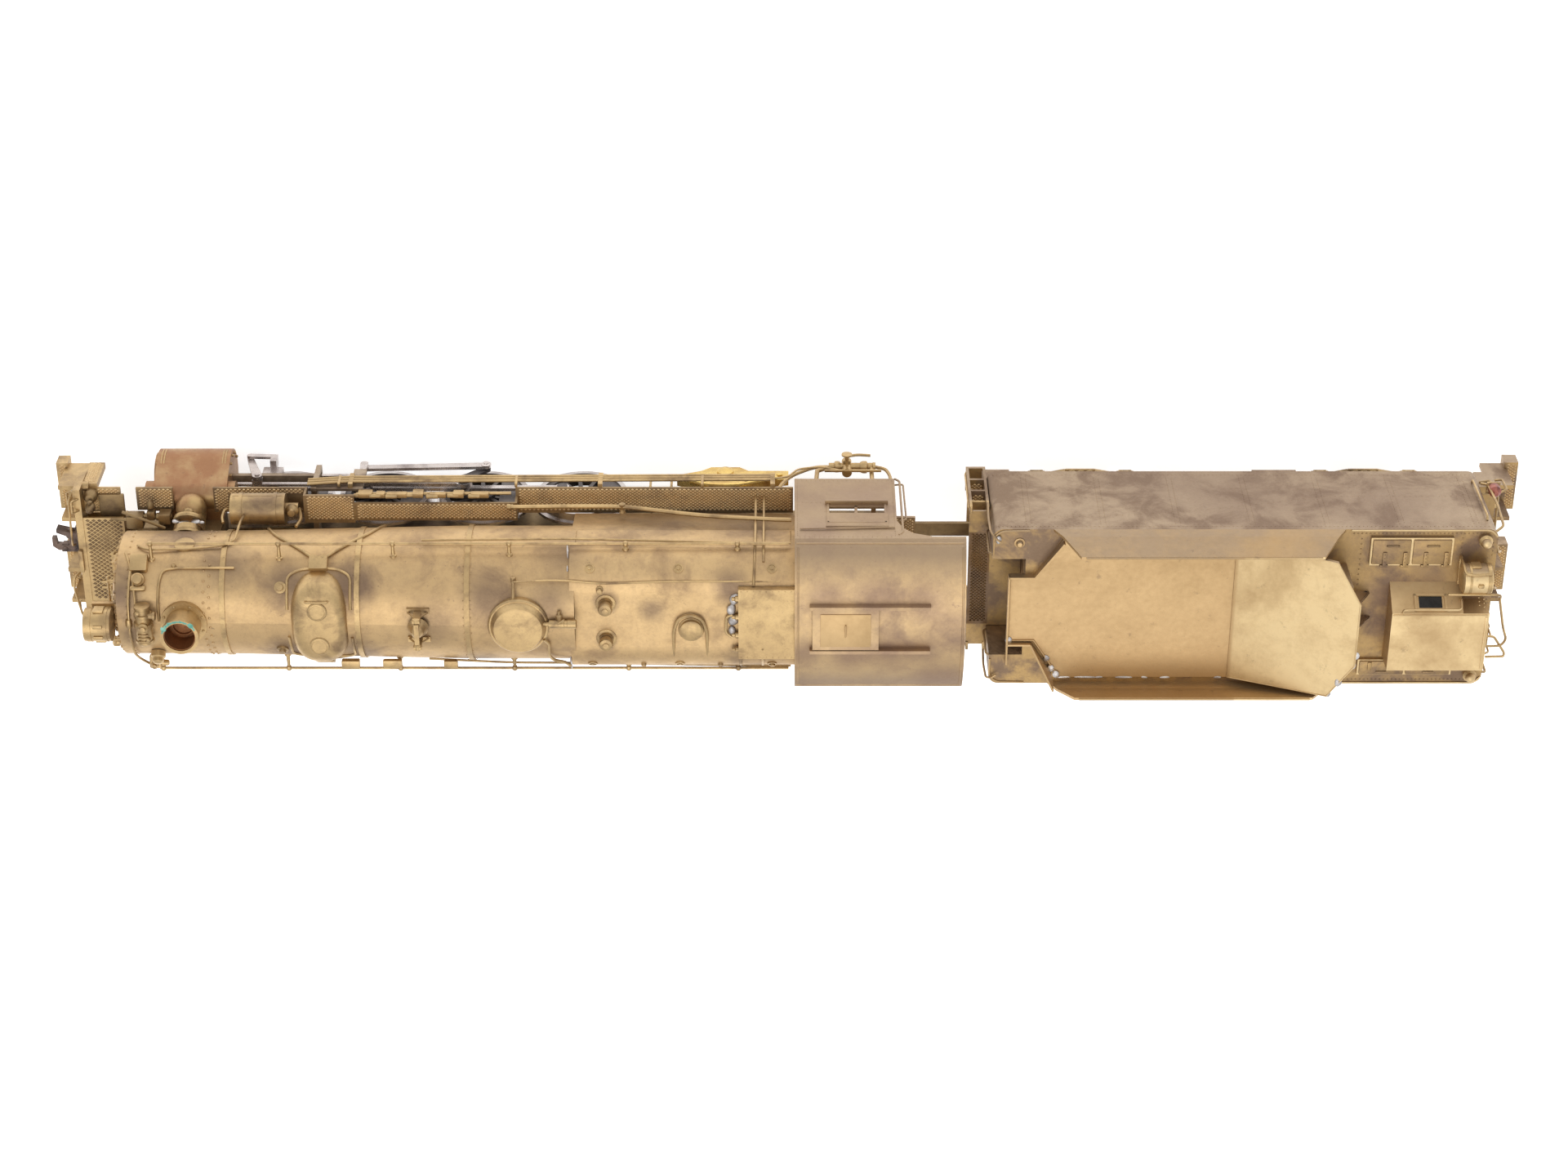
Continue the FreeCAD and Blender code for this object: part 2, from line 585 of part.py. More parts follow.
def boiler_fittings():
    """Boiler bands, safety valves, turret cover, whistle, generator and the bell's stand."""
    top = FIREBOX_TOP
    pieces = boiler_bands()
    for y in (-4.3, 4.3):
        pieces.append(join([rod_z(top, top + 1.0, 38.3, y, 1.6), rod_z(top, top + 3.0, 38.3, y, 1.1)]))
    pieces.append(box((-2.3, 9.8), (-8.6, 8.6), (top, top + 1.6)))
    pieces.append(join([rod_z(top, top + 0.5, 20.0, 2.0, 2.6), rod_z(top, top + 0.9, 20.0, 2.0, 1.6)]))
    whistle = rod_x(44.6, 50.3, -1.0, 53.6, 0.9)
    pieces.append(join([whistle, box((47, 49), (-1.8, -0.2), (52.0, 53.6))]))
    saddle = rod_y(-4.4, 3.6, 137.4, 52.8, 1.6)
    pieces.append(join([saddle, box((135.9, 138.9), (-2.6, 2.0), (50.6, 52.8))]))
    for side in (1, -1):
        ys = on_side((BELL_HALF, BELL_HALF + 0.7), side)
        leg = box((BELL_X - 0.8, BELL_X + 0.8), ys, (50.5, BELL_PIVOT_Z + 0.8))
        foot = box((BELL_X - 2.4, BELL_X + 2.4), on_side((BELL_HALF, BELL_HALF + 1.2), side), (50.5, 52.5))
        hole = rod_y(-5, 5, BELL_X, BELL_PIVOT_Z, 0.35 + RUN)
        pieces.append(leg.fuse(foot).cut(hole))
    save(Part.makeCompound(pieces).cut(boiler_solid()), "boiler_fittings")


def bell():
    """Bell hung from its yoke shaft, which turns in the stand's two legs."""
    half = BELL_HALF + 0.6
    shaft = rod_y(-half, half, BELL_X, BELL_PIVOT_Z, 0.35)
    yoke = box((BELL_X - 0.5, BELL_X + 0.5), (-2.5, 2.5), (BELL_PIVOT_Z - 0.4, BELL_PIVOT_Z + 0.6))
    crown = Part.makeSphere(1.35, vec(BELL_X, 0, BELL_PIVOT_Z - 1.0))
    skirt = Part.makeCone(2.1, 1.3, 1.7, vec(BELL_X, 0, BELL_PIVOT_Z - 2.6))
    save(join([shaft, yoke, crown, skirt]), "bell")


def handrail(side):
    """A straight rail along the boiler on its posts."""
    z = HANDRAIL_Z
    y = side * HANDRAIL_Y
    pieces = [rod_x(-1.0, 136.8, y, z, 0.3)]
    for x in (136.0, 108.5, 84.0, 59.0, 34.0, 10.0):
        pieces.append(rod_y(side * 11.4, y, x, z, 0.2))
    return join(pieces)


def handrails():
    save(Part.makeCompound([handrail(-1), handrail(1)]).cut(boiler_solid()), "handrails")


def board(xs, inner, outer, top):
    return box(xs, (-outer, -inner), (top - BOARD_T, top))


def running_board_right():
    pieces = [board((134.6, 142.7), 12.0, BOARD_OUT, BOARD_LOW)]
    pieces.append(board((104.9, 125.7), 11.5, BOARD_OUT, BOARD_LOW))
    pieces.append(board((94.3, 105.4), BOARD_IN, BOARD_OUT, BOARD_HIGH))
    pieces.append(box((104.9, 105.4), (-BOARD_OUT, -11.5), (BOARD_LOW - BOARD_T, BOARD_HIGH)))
    pieces.append(board((58.6, 94.5), BOARD_IN + 0.6, 15.6, BOARD_HIGH))
    pieces.append(box((58.6, 59.1), (-15.6, -11.3), (BOARD_LOW - BOARD_T, BOARD_HIGH)))
    pieces.append(board((-2.0, 59.1), 11.3, BOARD_OUT, BOARD_LOW))
    boards = join(pieces[1:7])
    return [boards, pieces[0]]


def running_boards():
    shapes = running_board_right()
    save(Part.makeCompound(shapes + [mirror_y(s) for s in shapes]), "running_boards")
    tank = rod_x(109.3, 121.2, -14.2, BOARD_HIGH, 3.5)
    straps = [rod_x(x - 0.4, x + 0.4, -14.2, BOARD_HIGH, 3.65) for x in (111.5, 119.0)]
    valve = rod_x(106.6, 109.4, -14.2, BOARD_HIGH - 0.2, 1.3)
    tank = join([tank, valve] + straps).cut(box((105, 125), (-20, 0), (20, BOARD_LOW)))
    save(both_sides(tank), "air_tanks")


def piping():
    """Pipes along the running board and the injector under the cab."""
    lines = []
    for drop in (0.0, 1.0, 2.0):
        path = [(105.0, -17.9, 21.6 - drop), (96.0, -18.0, 20.6 - drop), (2.0, -18.0, 19.6 - drop)]
        lines.append(wire_rod(path, 0.35))
    lines.append(box((95.0, 96.0), (-18.2, -17.2), (17.0, 22.1)))
    lines.append(box((40.0, 41.0), (-18.2, -17.2), (16.8, 22.1)))
    lines.append(box((2.0, 3.0), (-18.2, -17.2), (16.8, 22.1)))
    injector = [rod_x(-20.0, -10.0, -16.6, 11.0, 0.9), rod_z(8.4, 14.0, -14.0, -16.6, 1.1)]
    injector.append(wire_rod([(-10.5, -16.6, 11.0), (-7.4, -16.6, 13.0), (-7.0, -16.8, 20.1)], 0.5))
    injector.append(wire_rod([(-19.5, -16.6, 11.0), (-19.5, -16.9, 20.1)], 0.5))
    save(Part.makeCompound([join(lines), join(injector)]), "piping")


# ---------------------------------------------------------------- pilot and coupler


def pilot():
    deck = box((145.8, 155.4), (-10.6, 10.6), (23.2, 23.8))
    beam = box((154.8, 156.4), (-17.6, 17.6), (15.2, 24.0))
    pieces = [deck, beam, box((146.0, 155.0), (-9.0, 9.0), (17.5, 18.3))]
    for side in (1, -1):
        pieces.append(box((146.0, 147.0), on_side((5.5, 9.0), side), (17.5, 23.4)))
        pieces.append(box((146.6, 155.0), on_side((10.5, 16.4), side), (20.0, 20.6)))
        pieces.append(box((151.6, 155.0), on_side((16.0, 17.4), side), (10.4, 20.4)))
        pieces.append(box((160.6, 163.2), on_side((4.6, 16.0), side), (4.4, 8.2)))
        for y in (6.0, 14.0):
            pieces.append(box((155.6, 161.2), on_side((y, y + 0.9), side), (6.0, 17.0)))
    pieces.append(box((146.4, 156.0), (-3.6, 3.6), (11.0, 17.6)))
    pocket = box((149.0, 157.0), (-2.9, 2.9), (12.2, 16.2))
    pin = rod_z(11.5, 17.0, 151.5, 0, 0.8)
    save(join([cut(join(pieces), [pocket]), pin]), "pilot")


def coupler():
    """Knuckle coupler: shank in its pocket, and the knuckle that opens on its own pin."""
    shank = box((150.4, 159.6), (-1.0, 1.0), (13.1, 15.3))
    eye = rod_z(13.1, 15.3, 151.5, 0, 1.5)
    head = box((158.6, 160.6), (-2.2, 2.6), (12.9, 15.5))
    guard = prism_xy([(160.0, -2.2), (160.0, -0.9), (163.2, -2.2), (163.2, -3.0)], (12.9, 15.5))
    lug = box((160.4, 162.4), (1.2, 2.6), (12.9, 13.5))
    lug_top = box((160.4, 162.4), (1.2, 2.6), (14.9, 15.5))
    pin = rod_z(13.2, 15.2, 161.6, 1.9, 0.35)
    body = join([shank, eye, head, guard, lug, lug_top, pin])
    save(cut(body, [rod_z(12, 17, 151.5, 0, 0.8 + RUN)]), "coupler")
    arm = prism_xy([(161.0, 1.2), (161.0, 2.6), (163.2, 2.6), (HALF_LENGTH, 1.6), (HALF_LENGTH, -0.6),
                    (163.6, -0.6), (163.4, 1.0)], (13.6, 14.8))
    save(cut(arm, [rod_z(13, 16, 161.6, 1.9, 0.35 + RUN)]), "coupler_knuckle")


# ---------------------------------------------------------------- trucks


def pony_box(x, z, half, zs, reach):
    """Axle block of a two-wheel truck with a running bore."""
    block = box((x - reach, x + reach), (-half, half), zs)
    return block.cut(rod_y(-half - 1, half + 1, x, z, 0.9 + RUN))


def lead_truck():
    z = RAIL + LEAD_R
    block = pony_box(LEAD_X, z, 6.4, (3.2, 8.0), 2.6)
    tongue = box((LEAD_PIVOT - 0.5, LEAD_X - 2.0), (-1.8, 1.8), (6.8, 7.9))
    eye = rod_z(6.8, 7.9, LEAD_PIVOT, 0, 2.0)
    save(cut(join([block, tongue, eye]), [rod_z(5, 9, LEAD_PIVOT, 0, 0.8 + RUN)]), "lead_truck")
    save(small_wheelset(LEAD_X, LEAD_R, 8.0), "lead_wheels")


def trailing_truck():
    z = RAIL + TRAIL_R
    block = pony_box(TRAIL_X, z, 6.4, (4.4, 8.4), 2.6)
    tongue = box((TRAIL_X + 2.0, TRAIL_PIVOT), (-1.8, 1.8), (7.2, 8.4))
    eye = rod_z(7.2, 8.4, TRAIL_PIVOT, 0, 2.0)
    pieces = [block, tongue, eye, box((4.0, 5.8), (-12.6, 12.6), (7.0, 8.8))]
    pieces.append(box((20.4, 22.2), (-12.6, 12.6), (7.0, 8.8)))
    pieces.append(box((4.0, TRAIL_X), (-1.8, 1.8), (7.25, 8.4)))
    for side in (1, -1):
        outline = [(-1.0, 5.4), (-1.0, 9.2), (4.0, 10.2), (9.0, 13.0), (17.4, 13.0), (21.0, 10.6),
                   (24.0, 9.4),
                   (24.0, 7.4), (18.6, 5.4), (16.4, 3.6), (10.0, 3.6), (8.0, 5.4)]
        plate = prism_xz(outline, on_side((10.9, 12.6), side))
        eyelet = rod_y(side * 10, side * 13, TRAIL_X + 5.0, 9.4, 1.2)
        window = rod_y(side * 10, side * 13, TRAIL_X - 5.0, 9.4, 1.2)
        pieces.append(plate.cut(Part.makeCompound([eyelet, window])))
    save(cut(join(pieces), [rod_z(5, 9, TRAIL_PIVOT, 0, 0.8 + RUN)]), "trailing_truck")
    save(small_wheelset(TRAIL_X, TRAIL_R, 8.0), "trailing_wheels")


def truck_frame(x):
    """Cast side frames with journal boxes, joined by a bolster."""
    z = RAIL + TRUCK_R
    pieces = [box((x - 3.0, x + 3.0), (-11.2, 11.2), (5.4, 9.0)), rod_z(8.5, 12.2, x, 0, 3.0)]
    for side in (1, -1):
        ys = on_side((10.2, 11.2), side)
        half = TRUCK_HALF_BASE
        outline = [(x - half - 2.2, 3.4), (x - half - 2.2, 7.8), (x - 5.5, 9.8), (x + 5.5, 9.8),
                   (x + half + 2.2, 7.8), (x + half + 2.2, 3.4), (x + half - 2.2, 3.4), (x + 3.6, 1.8),
                   (x - 3.6, 1.8), (x - half + 2.2, 3.4)]
        pieces.append(prism_xz(outline, ys))
        for end in (-half, half):
            journal = box((x + end - 1.9, x + end + 1.9), on_side((10.2, 11.8), side), (3.8, 7.6))
            pieces.append(journal)
    frame = join(pieces)
    bores = [rod_y(-11.1, 11.1, x + end, z, 0.9 + RUN) for end in (-TRUCK_HALF_BASE, TRUCK_HALF_BASE)]
    bores.append(rod_z(5, 13, x, 0, KING_R + RUN))
    return cut(frame, bores)


def tender_trucks():
    for name, x in zip(("front", "rear"), TRUCK_X):
        save(truck_frame(x), "tender_truck_" + name)
        for number, end in ((1, TRUCK_HALF_BASE), (2, -TRUCK_HALF_BASE)):
            save(small_wheelset(x + end, TRUCK_R, 10.9), "tender_wheels_%s_%d" % (name, number))


def drawbar():
    bar = box((DRAW_X[0], DRAW_X[1]), (-1.6, 1.6), DRAW_Z)
    eyes = [rod_z(DRAW_Z[0], DRAW_Z[1], x, 0, 2.2) for x in DRAW_X]
    holes = [rod_z(8, 11, x, 0, 1.0 + RUN) for x in DRAW_X]
    save(cut(join([bar] + eyes), holes), "drawbar")


# ---------------------------------------------------------------- cab


def roof_section(inset, xs, low):
    """Arched roof with straight sides, as a solid pushed along X."""
    half = CAB_Y - inset
    eave = EAVE_Z - 0.2 * inset
    x = min(xs)
    top = ROOF_TOP - inset
    shoulder = half - 1.4
    edges = [Part.makeLine(vec(x, -half, low), vec(x, -half, eave))]
    edges.append(Part.makeLine(vec(x, -half, eave), vec(x, -shoulder, eave + 1.3)))
    arch = Part.Arc(vec(x, -shoulder, eave + 1.3), vec(x, 0, top), vec(x, shoulder, eave + 1.3))
    edges.append(arch.toShape())
    edges.append(Part.makeLine(vec(x, shoulder, eave + 1.3), vec(x, half, eave)))
    edges.append(Part.makeLine(vec(x, half, eave), vec(x, half, low)))
    edges.append(Part.makeLine(vec(x, half, low), vec(x, -half, low)))
    return Part.Face(Part.Wire(edges)).extrude(vec(abs(xs[1] - xs[0]), 0, 0))


def cab():
    """Sheet cab: sides, arched roof with a rear overhang, front sheet and floor."""
    outer = roof_section(0, CAB_X, CAB_BOTTOM)
    inner = roof_section(SHEET, (CAB_X[0] - 1, CAB_X[1] - SHEET), CAB_BOTTOM - 1)
    overhang = roof_section(0, (ROOF_REAR, CAB_X[0]), EAVE_Z - 0.9)
    hollow = roof_section(SHEET, (ROOF_REAR - 1, CAB_X[0] + 1), EAVE_Z - 2)
    curve = [(CAB_X[0], EAVE_Z - 8.0), (CAB_X[0], EAVE_Z - 0.5), (-33.0, EAVE_Z - 0.5),
             (-27.6, EAVE_Z - 2.4), (-25.6, EAVE_Z - 4.6)]
    gusset = prism_xz(curve, (CAB_Y - SHEET, CAB_Y))
    shell = join([cut(outer, [inner]), cut(overhang, [hollow]), gusset, mirror_y(gusset)])
    fire_hole = firebox_block(-0.02, (CAB_X[1] - 4, CAB_X[1] + 1))
    drain = box((CAB_X[1] - 4, CAB_X[1] + 1), (-15, 15), (CAB_BOTTOM - 2, FIREBOX_BOTTOM + 1))
    windows = [box((-21.9, -9.6), (-20, 20), (32.6, 40.2))]
    front_windows = [box((-4, -1), on_side((15.0, 17.4), s), (38.0, 44.0)) for s in (1, -1)]
    opening = box((HATCH_X[0] + 1.2, HATCH_X[1] - 1.2), (-HATCH_Y + 0.8, HATCH_Y - 0.8), (50, 56))
    shell = cut(shell, [fire_hole, drain, opening] + windows + front_windows)
    floor = box((-28.6, -3.0), (-15.2, 15.2), (CAB_FLOOR - 0.8, CAB_FLOOR))
    ribs = [box((-20.0, -19.0), (-17.9, 17.9), (CAB_FLOOR - 2.0, CAB_FLOOR - 0.5))]
    ribs.append(box((-20.0, -19.0), (-4.2, 4.2), (17.5, CAB_FLOOR - 0.5)))
    ribs.append(box((-21.0, -4.0), on_side((16.8, 18.2), 1), (CAB_BOTTOM, CAB_BOTTOM + 1.2)))
    ribs.append(box((-21.0, -4.0), on_side((16.8, 18.2), -1), (CAB_BOTTOM, CAB_BOTTOM + 1.2)))
    save(Part.makeCompound([join([shell, floor] + ribs)] + window_trim() + hatch_rails()), "cab")


def window_trim():
    """Sash post, sill and awning of each side window."""
    posts = []
    for side in (1, -1):
        ys = on_side((CAB_Y - 0.6, CAB_Y - 0.1), side)
        posts.append(box((-15.9, -15.3), ys, (32.5, 40.3)))
        posts.append(box((-22.0, -9.5), ys, (32.4, 33.0)))
        awning = prism_yz([(side * 18.5, 41.6), (side * 18.5, 42.0), (side * 19.2, 37.2),
                           (side * 18.9, 37.2)],
                          (-22.4, -9.2))
        posts.append(awning)
    return posts


def backhead():
    plate = box((-4.2, -3.0), (-11.0, 11.0), (CAB_FLOOR, 47.6))
    door = rod_x(-5.0, -4.2, 0, 37.2, 2.6)
    gauges = [rod_x(-5.4, -4.2, y, 44.2, 1.1) for y in (-5.0, -1.6, 1.8)]
    column = rod_z(36.0, 43.0, -5.4, 6.4, 0.6)
    shelf = box((-5.8, -4.2), (5.8, 7.0), (42.0, 42.8))
    lever = wire_rod([(-4.4, -3.0, 46.0), (-6.0, -3.0, 45.6), (-6.4, -8.6, 41.6)], 0.35)
    seats = [box((-20.0, -10.0), on_side((11.6, 15.0), s), (CAB_FLOOR, CAB_FLOOR + 4.6)) for s in (1, -1)]
    save(Part.makeCompound([join([plate, door, column, shelf, lever] + gauges)] + seats), "backhead")


def roof_z(y, inset):
    """Height of the roof arc at a given |Y|."""
    half = CAB_Y - inset - 1.4
    rise = (ROOF_TOP - inset) - (EAVE_Z - 0.2 * inset + 1.3)
    r = (half * half + rise * rise) / (2 * rise)
    return ROOF_TOP - inset - r + math.sqrt(r * r - y * y)


def roof_hatch():
    """Sliding ventilator cover that runs between two rails on the roof."""
    z = ROOF_TOP + 0.25
    save(box(HATCH_X, (-HATCH_Y, HATCH_Y), (z, z + 0.6)), "roof_hatch")


def hatch_rails():
    rails = []
    for side in (1, -1):
        base = roof_z(HATCH_Y + 0.6, 0) - 0.15
        ys = on_side((HATCH_Y + 0.12, HATCH_Y + 0.9), side)
        rails.append(box((-31.4, HATCH_X[1] + 0.6), ys, (base, ROOF_TOP + 1.1)))
    return rails


# ---------------------------------------------------------------- tender


def tender_tank():
    """Water tank with its deck, rounded rear corners and two front water legs."""
    tank = box(TENDER_X, (-TENDER_Y, TENDER_Y), (TENDER_BOTTOM, DECK_Z))
    corners = [e for e in tank.Edges if abs(e.tangentAt(0).z) > 0.9]
    tank = tank.makeFillet(2.2, corners)
    bay = box((-52.0, -44.0), (-12.0, 12.0), (CAB_FLOOR - BOARD_T, DECK_Z + 1))
    half = TENDER_Y - WALL
    hollow = box((TENDER_X[0] + WALL, -53.0), (-half, half), (TENDER_BOTTOM + 1.2, DECK_Z - 1.6))
    filler = box((-149.0, -134.0), (0.5, 9.5), (DECK_Z - 2.5, DECK_Z + 1))
    save(cut(tank, [bay, hollow, filler]), "tender_tank")


def coal_board():
    """Upright board that leans inward above the fold, with sloping ends."""
    y = -TENDER_Y
    t = 0.6
    fold = 47.9
    lean = y + 1.5
    section = [(y, DECK_Z), (y, fold), (lean, BOARD_TOP), (lean + t, BOARD_TOP), (y + t, fold),
               (y + t, DECK_Z)]
    strip = prism_yz(section, (-121.0, -57.0))
    front = prism_xz([(-56.0, DECK_Z - 1), (-56.0, 56), (-64.0, 56), (-57.2, DECK_Z - 1)], (y - 1, y + 4))
    rear = prism_xz([(-122.0, DECK_Z - 1), (-122.0, 56), (-113.5, 56), (-120.8, DECK_Z - 1)], (y - 1, y + 4))
    return cut(strip, [front, rear])


def coal_bunker():
    """Floor tray, slope sheet, bulkhead and the two coal boards."""
    floor = prism_xy([(-48.6, -8.0), (-54.4, -8.0), (-60.4, -BUNKER_Y), (-98.0, -BUNKER_Y), (-98.0, BUNKER_Y),
                      (-60.4, BUNKER_Y), (-54.4, 8.0), (-48.6, 8.0)], (DECK_Z, DECK_Z + 0.5))
    sheet = [(-97.0, -17.4), (-117.5, -16.6), (-122.6, -7.6), (-122.6, 7.6), (-117.5, 16.6), (-97.0, 17.4)]
    outline = prism_xy(sheet, (40, 60))
    rise = (56.2 - DECK_Z) / 25.6
    lift = 0.8
    slab = prism_xz([(-97.0, DECK_Z), (-97.0, DECK_Z + lift), (-122.6, DECK_Z + lift + 25.6 * rise),
                     (-122.6, DECK_Z + 25.6 * rise)], (-20, 20))
    slope = outline.common(slab)
    bulkhead = box((-121.2, -120.4), (-7.0, 7.0), (DECK_Z, 55.0))
    ribs = [prism_xz([(-121.0, DECK_Z), (-121.0, 55.2), (-101.0, 46.3), (-101.0, DECK_Z)], (y - 0.4, y + 0.4))
            for y in (-10.5, 0.0, 10.5)]
    boards = [coal_board(), mirror_y(coal_board())]
    tray = join([floor, slope, bulkhead] + ribs)
    save(Part.makeCompound([tray] + boards), "coal_bunker")


def tender_frame():
    """Underframe with bolsters, king pins, drawbar pin, footboards, steps and the rear coupler pad."""
    floor = box((TENDER_X[0] + 1, TENDER_X[1] - 1), (-17.5, 17.5), (TENDER_BOTTOM - 1.0, TENDER_BOTTOM))
    sill = box((TENDER_X[0], -46.0), (-3.4, 3.4), (13.0, TENDER_BOTTOM - 0.9))
    pieces = [floor, sill]
    for x in TRUCK_X:
        pieces.append(box((x - 2.4, x + 2.4), (-15.5, 15.5), (14.6, TENDER_BOTTOM - 0.9)))
        pieces.append(rod_z(12.26, 13.5, x, 0, 3.0))
        pieces.append(rod_z(8.0, 13.5, x, 0, KING_R))
    pieces.append(box((-49.8, -46.0), (-2.6, 2.6), (11.2, 13.4)))
    pieces.append(rod_z(8.0, 12.0, DRAW_X[0], 0, 1.0))
    pieces.append(rod_z(8.0, 8.7, DRAW_X[0], 0, 1.8))
    pieces.append(box((-157.0, TENDER_X[0]), (-17.4, 17.4), (15.0, 22.0)))
    pieces.append(box((-155.8, TENDER_X[0]), (-7.0, 7.0), (21.5, 22.4)))
    pieces.append(box((-156.6, -148.0), (-2.6, 2.6), (11.4, 15.2)))
    for side in (1, -1):
        pieces.append(box((-HALF_LENGTH, -161.4), on_side((4.6, 16.4), side), (4.8, 8.6)))
        for y in (6.0, 14.0):
            pieces.append(box((-162.0, -156.4), on_side((y, y + 0.9), side), (6.0, 16.6)))
        pieces.append(box((-44.7, -40.4), on_side((12.4, 18.0), side), (13.6, 14.4)))
        pieces.append(box((-44.7, -44.1), on_side((12.4, 18.0), side), (13.6, 31.8)))
        for x0 in (-44.7, -41.0):
            pieces.append(box((x0, x0 + 0.6), on_side((17.2, 18.0), side), (13.6, 31.8)))
        for z in (19.2, 24.4):
            pieces.append(box((-44.5, -40.6), on_side((14.4, 18.0), side), (z, z + 0.6)))
        pieces.append(box((-113.8, -104.0), on_side((15.0, 17.2), side), (13.6, TENDER_BOTTOM - 0.9)))
    pieces.append(box((-44.8, -40.4), (-16.8, 16.8), (CAB_FLOOR - BOARD_T, CAB_FLOOR)))
    pieces.append(box((-51.9, -44.7), (-11.9, 11.9), (CAB_FLOOR - BOARD_T, CAB_FLOOR)))
    pieces.append(box((-50.0, -43.9), (-17.5, 17.5), (14.0, TENDER_BOTTOM)))
    frame = join(pieces)
    screw = rod_z(10, 13.4, -153.0, 0, 0.9)
    save(cut(frame, [screw]), "tender_frame")


def tender_fittings():
    """Filler housing, water hatches, rear lamp and the marker knobs on the deck."""
    housing = prism_yz([(-6.4, DECK_Z), (-2.0, 50.9), (12.3, 50.9), (12.3, DECK_Z)], (-151.6, -130.7))
    recess = box((-152, -146.0), (-7, -2.0), (DECK_Z - 1, 52))
    cavity = box((-150.8, -131.5), (-1.0, 11.5), (DECK_Z - 1, 50.2))
    window = box((-141.6, -136.6), (-5.4, -1), (47.2, 49.8))
    pieces = [cut(housing, [recess, cavity, window])]
    pieces.append(box((-143.4, -125.7), (-17.6, -10.9), (DECK_Z, DECK_Z + 0.8)))
    pieces.append(box((-146.0, -125.4), (12.8, 16.6), (DECK_Z, DECK_Z + 0.8)))
    drum = cut(rod_x(-151.4, -145.4, -9.4, 48.6, 3.3), [rod_x(-153, -150.6, -9.4, 48.6, 2.6)])
    pieces.append(join([drum, box((-150.6, -146.0), (-11.0, -7.8), (DECK_Z, 46.6))]))
    for y in (-16.8, 16.8):
        knob = Part.makeSphere(1.1, vec(-150.2, y, 46.6))
        pieces.append(join([rod_z(DECK_Z, DECK_Z + 1.2, -150.2, y, 1.4), knob]))
    save(Part.makeCompound(pieces), "tender_fittings")


def build_locomotive():
    for index in range(4):
        driver(index)
    running_gear()
    main_frame()
    gear_train()
    motor()
    cylinders()
    boiler()
    smokebox_front()
    headlight()
    stack()
    sand_dome()
    steam_dome()
    boiler_fittings()
    bell()
    handrails()
    running_boards()
    piping()
    pilot()
    coupler()
    lead_truck()
    trailing_truck()
    cab()
    backhead()
    roof_hatch()


def build_tender():
    drawbar()
    tender_trucks()
    tender_tank()
    coal_bunker()
    tender_frame()
    tender_fittings()


build_locomotive()
build_tender()
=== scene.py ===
import json
import math
import random

import bmesh
import bpy
from mathutils import Matrix, Vector


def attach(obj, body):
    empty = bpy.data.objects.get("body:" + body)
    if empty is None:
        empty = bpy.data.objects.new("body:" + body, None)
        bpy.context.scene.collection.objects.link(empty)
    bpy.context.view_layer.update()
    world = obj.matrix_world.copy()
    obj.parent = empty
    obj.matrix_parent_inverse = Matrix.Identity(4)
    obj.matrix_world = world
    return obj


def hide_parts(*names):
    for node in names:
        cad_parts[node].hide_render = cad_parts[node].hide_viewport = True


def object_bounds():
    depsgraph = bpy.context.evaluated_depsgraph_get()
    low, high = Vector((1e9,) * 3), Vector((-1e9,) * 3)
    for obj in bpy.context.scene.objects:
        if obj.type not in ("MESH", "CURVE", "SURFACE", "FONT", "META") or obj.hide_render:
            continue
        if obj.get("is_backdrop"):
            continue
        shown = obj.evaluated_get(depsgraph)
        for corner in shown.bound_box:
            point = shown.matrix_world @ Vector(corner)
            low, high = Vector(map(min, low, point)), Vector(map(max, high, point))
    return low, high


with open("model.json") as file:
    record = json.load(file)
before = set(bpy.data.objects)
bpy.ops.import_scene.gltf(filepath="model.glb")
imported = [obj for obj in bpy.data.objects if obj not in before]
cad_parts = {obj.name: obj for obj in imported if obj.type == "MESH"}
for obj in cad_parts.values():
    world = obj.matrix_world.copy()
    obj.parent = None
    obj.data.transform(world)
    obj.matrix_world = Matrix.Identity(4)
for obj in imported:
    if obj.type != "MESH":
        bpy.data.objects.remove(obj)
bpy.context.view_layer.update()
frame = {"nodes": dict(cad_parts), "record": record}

MM = 0.001
LOCO = "locomotive"
TENDER = "tender"
X, Y, Z = Vector((1, 0, 0)), Vector((0, 1, 0)), Vector((0, 0, 1))

# Stations of the model in millimetres: +X is the front, +Y the left, Z = 0 the bottom of the wheel flanges.
BOILER_Z = 38.1
SMOKEBOX_REAR, SMOKEBOX_R = 121.4, 13.4
STACK_X, SAND_DOME_X, BELL_X, STEAM_DOME_X = 129.0, 99.8, 78.5, 57.0
HEADLIGHT_Z = 52.0
CYLINDER_Y, CYLINDER_Z = 14.2, 11.0
DRIVER_X = (111.3, 89.3, 67.3, 45.3)
MAIN_X, DRIVER_Z = DRIVER_X[2], 10.75
CRANK, MAIN_ROD = 4.4, 42.6
BOARD_Z, HIGH_BOARD_Z = 22.7, 26.2
CAB_FLOOR_Z = 32.1
TANK_Y, TANK_REAR, DECK_Z = 19.3, -153.0, 44.7
LAMP_Y, LAMP_Z = -9.4, 48.6


# ---------------------------------------------------------------- materials


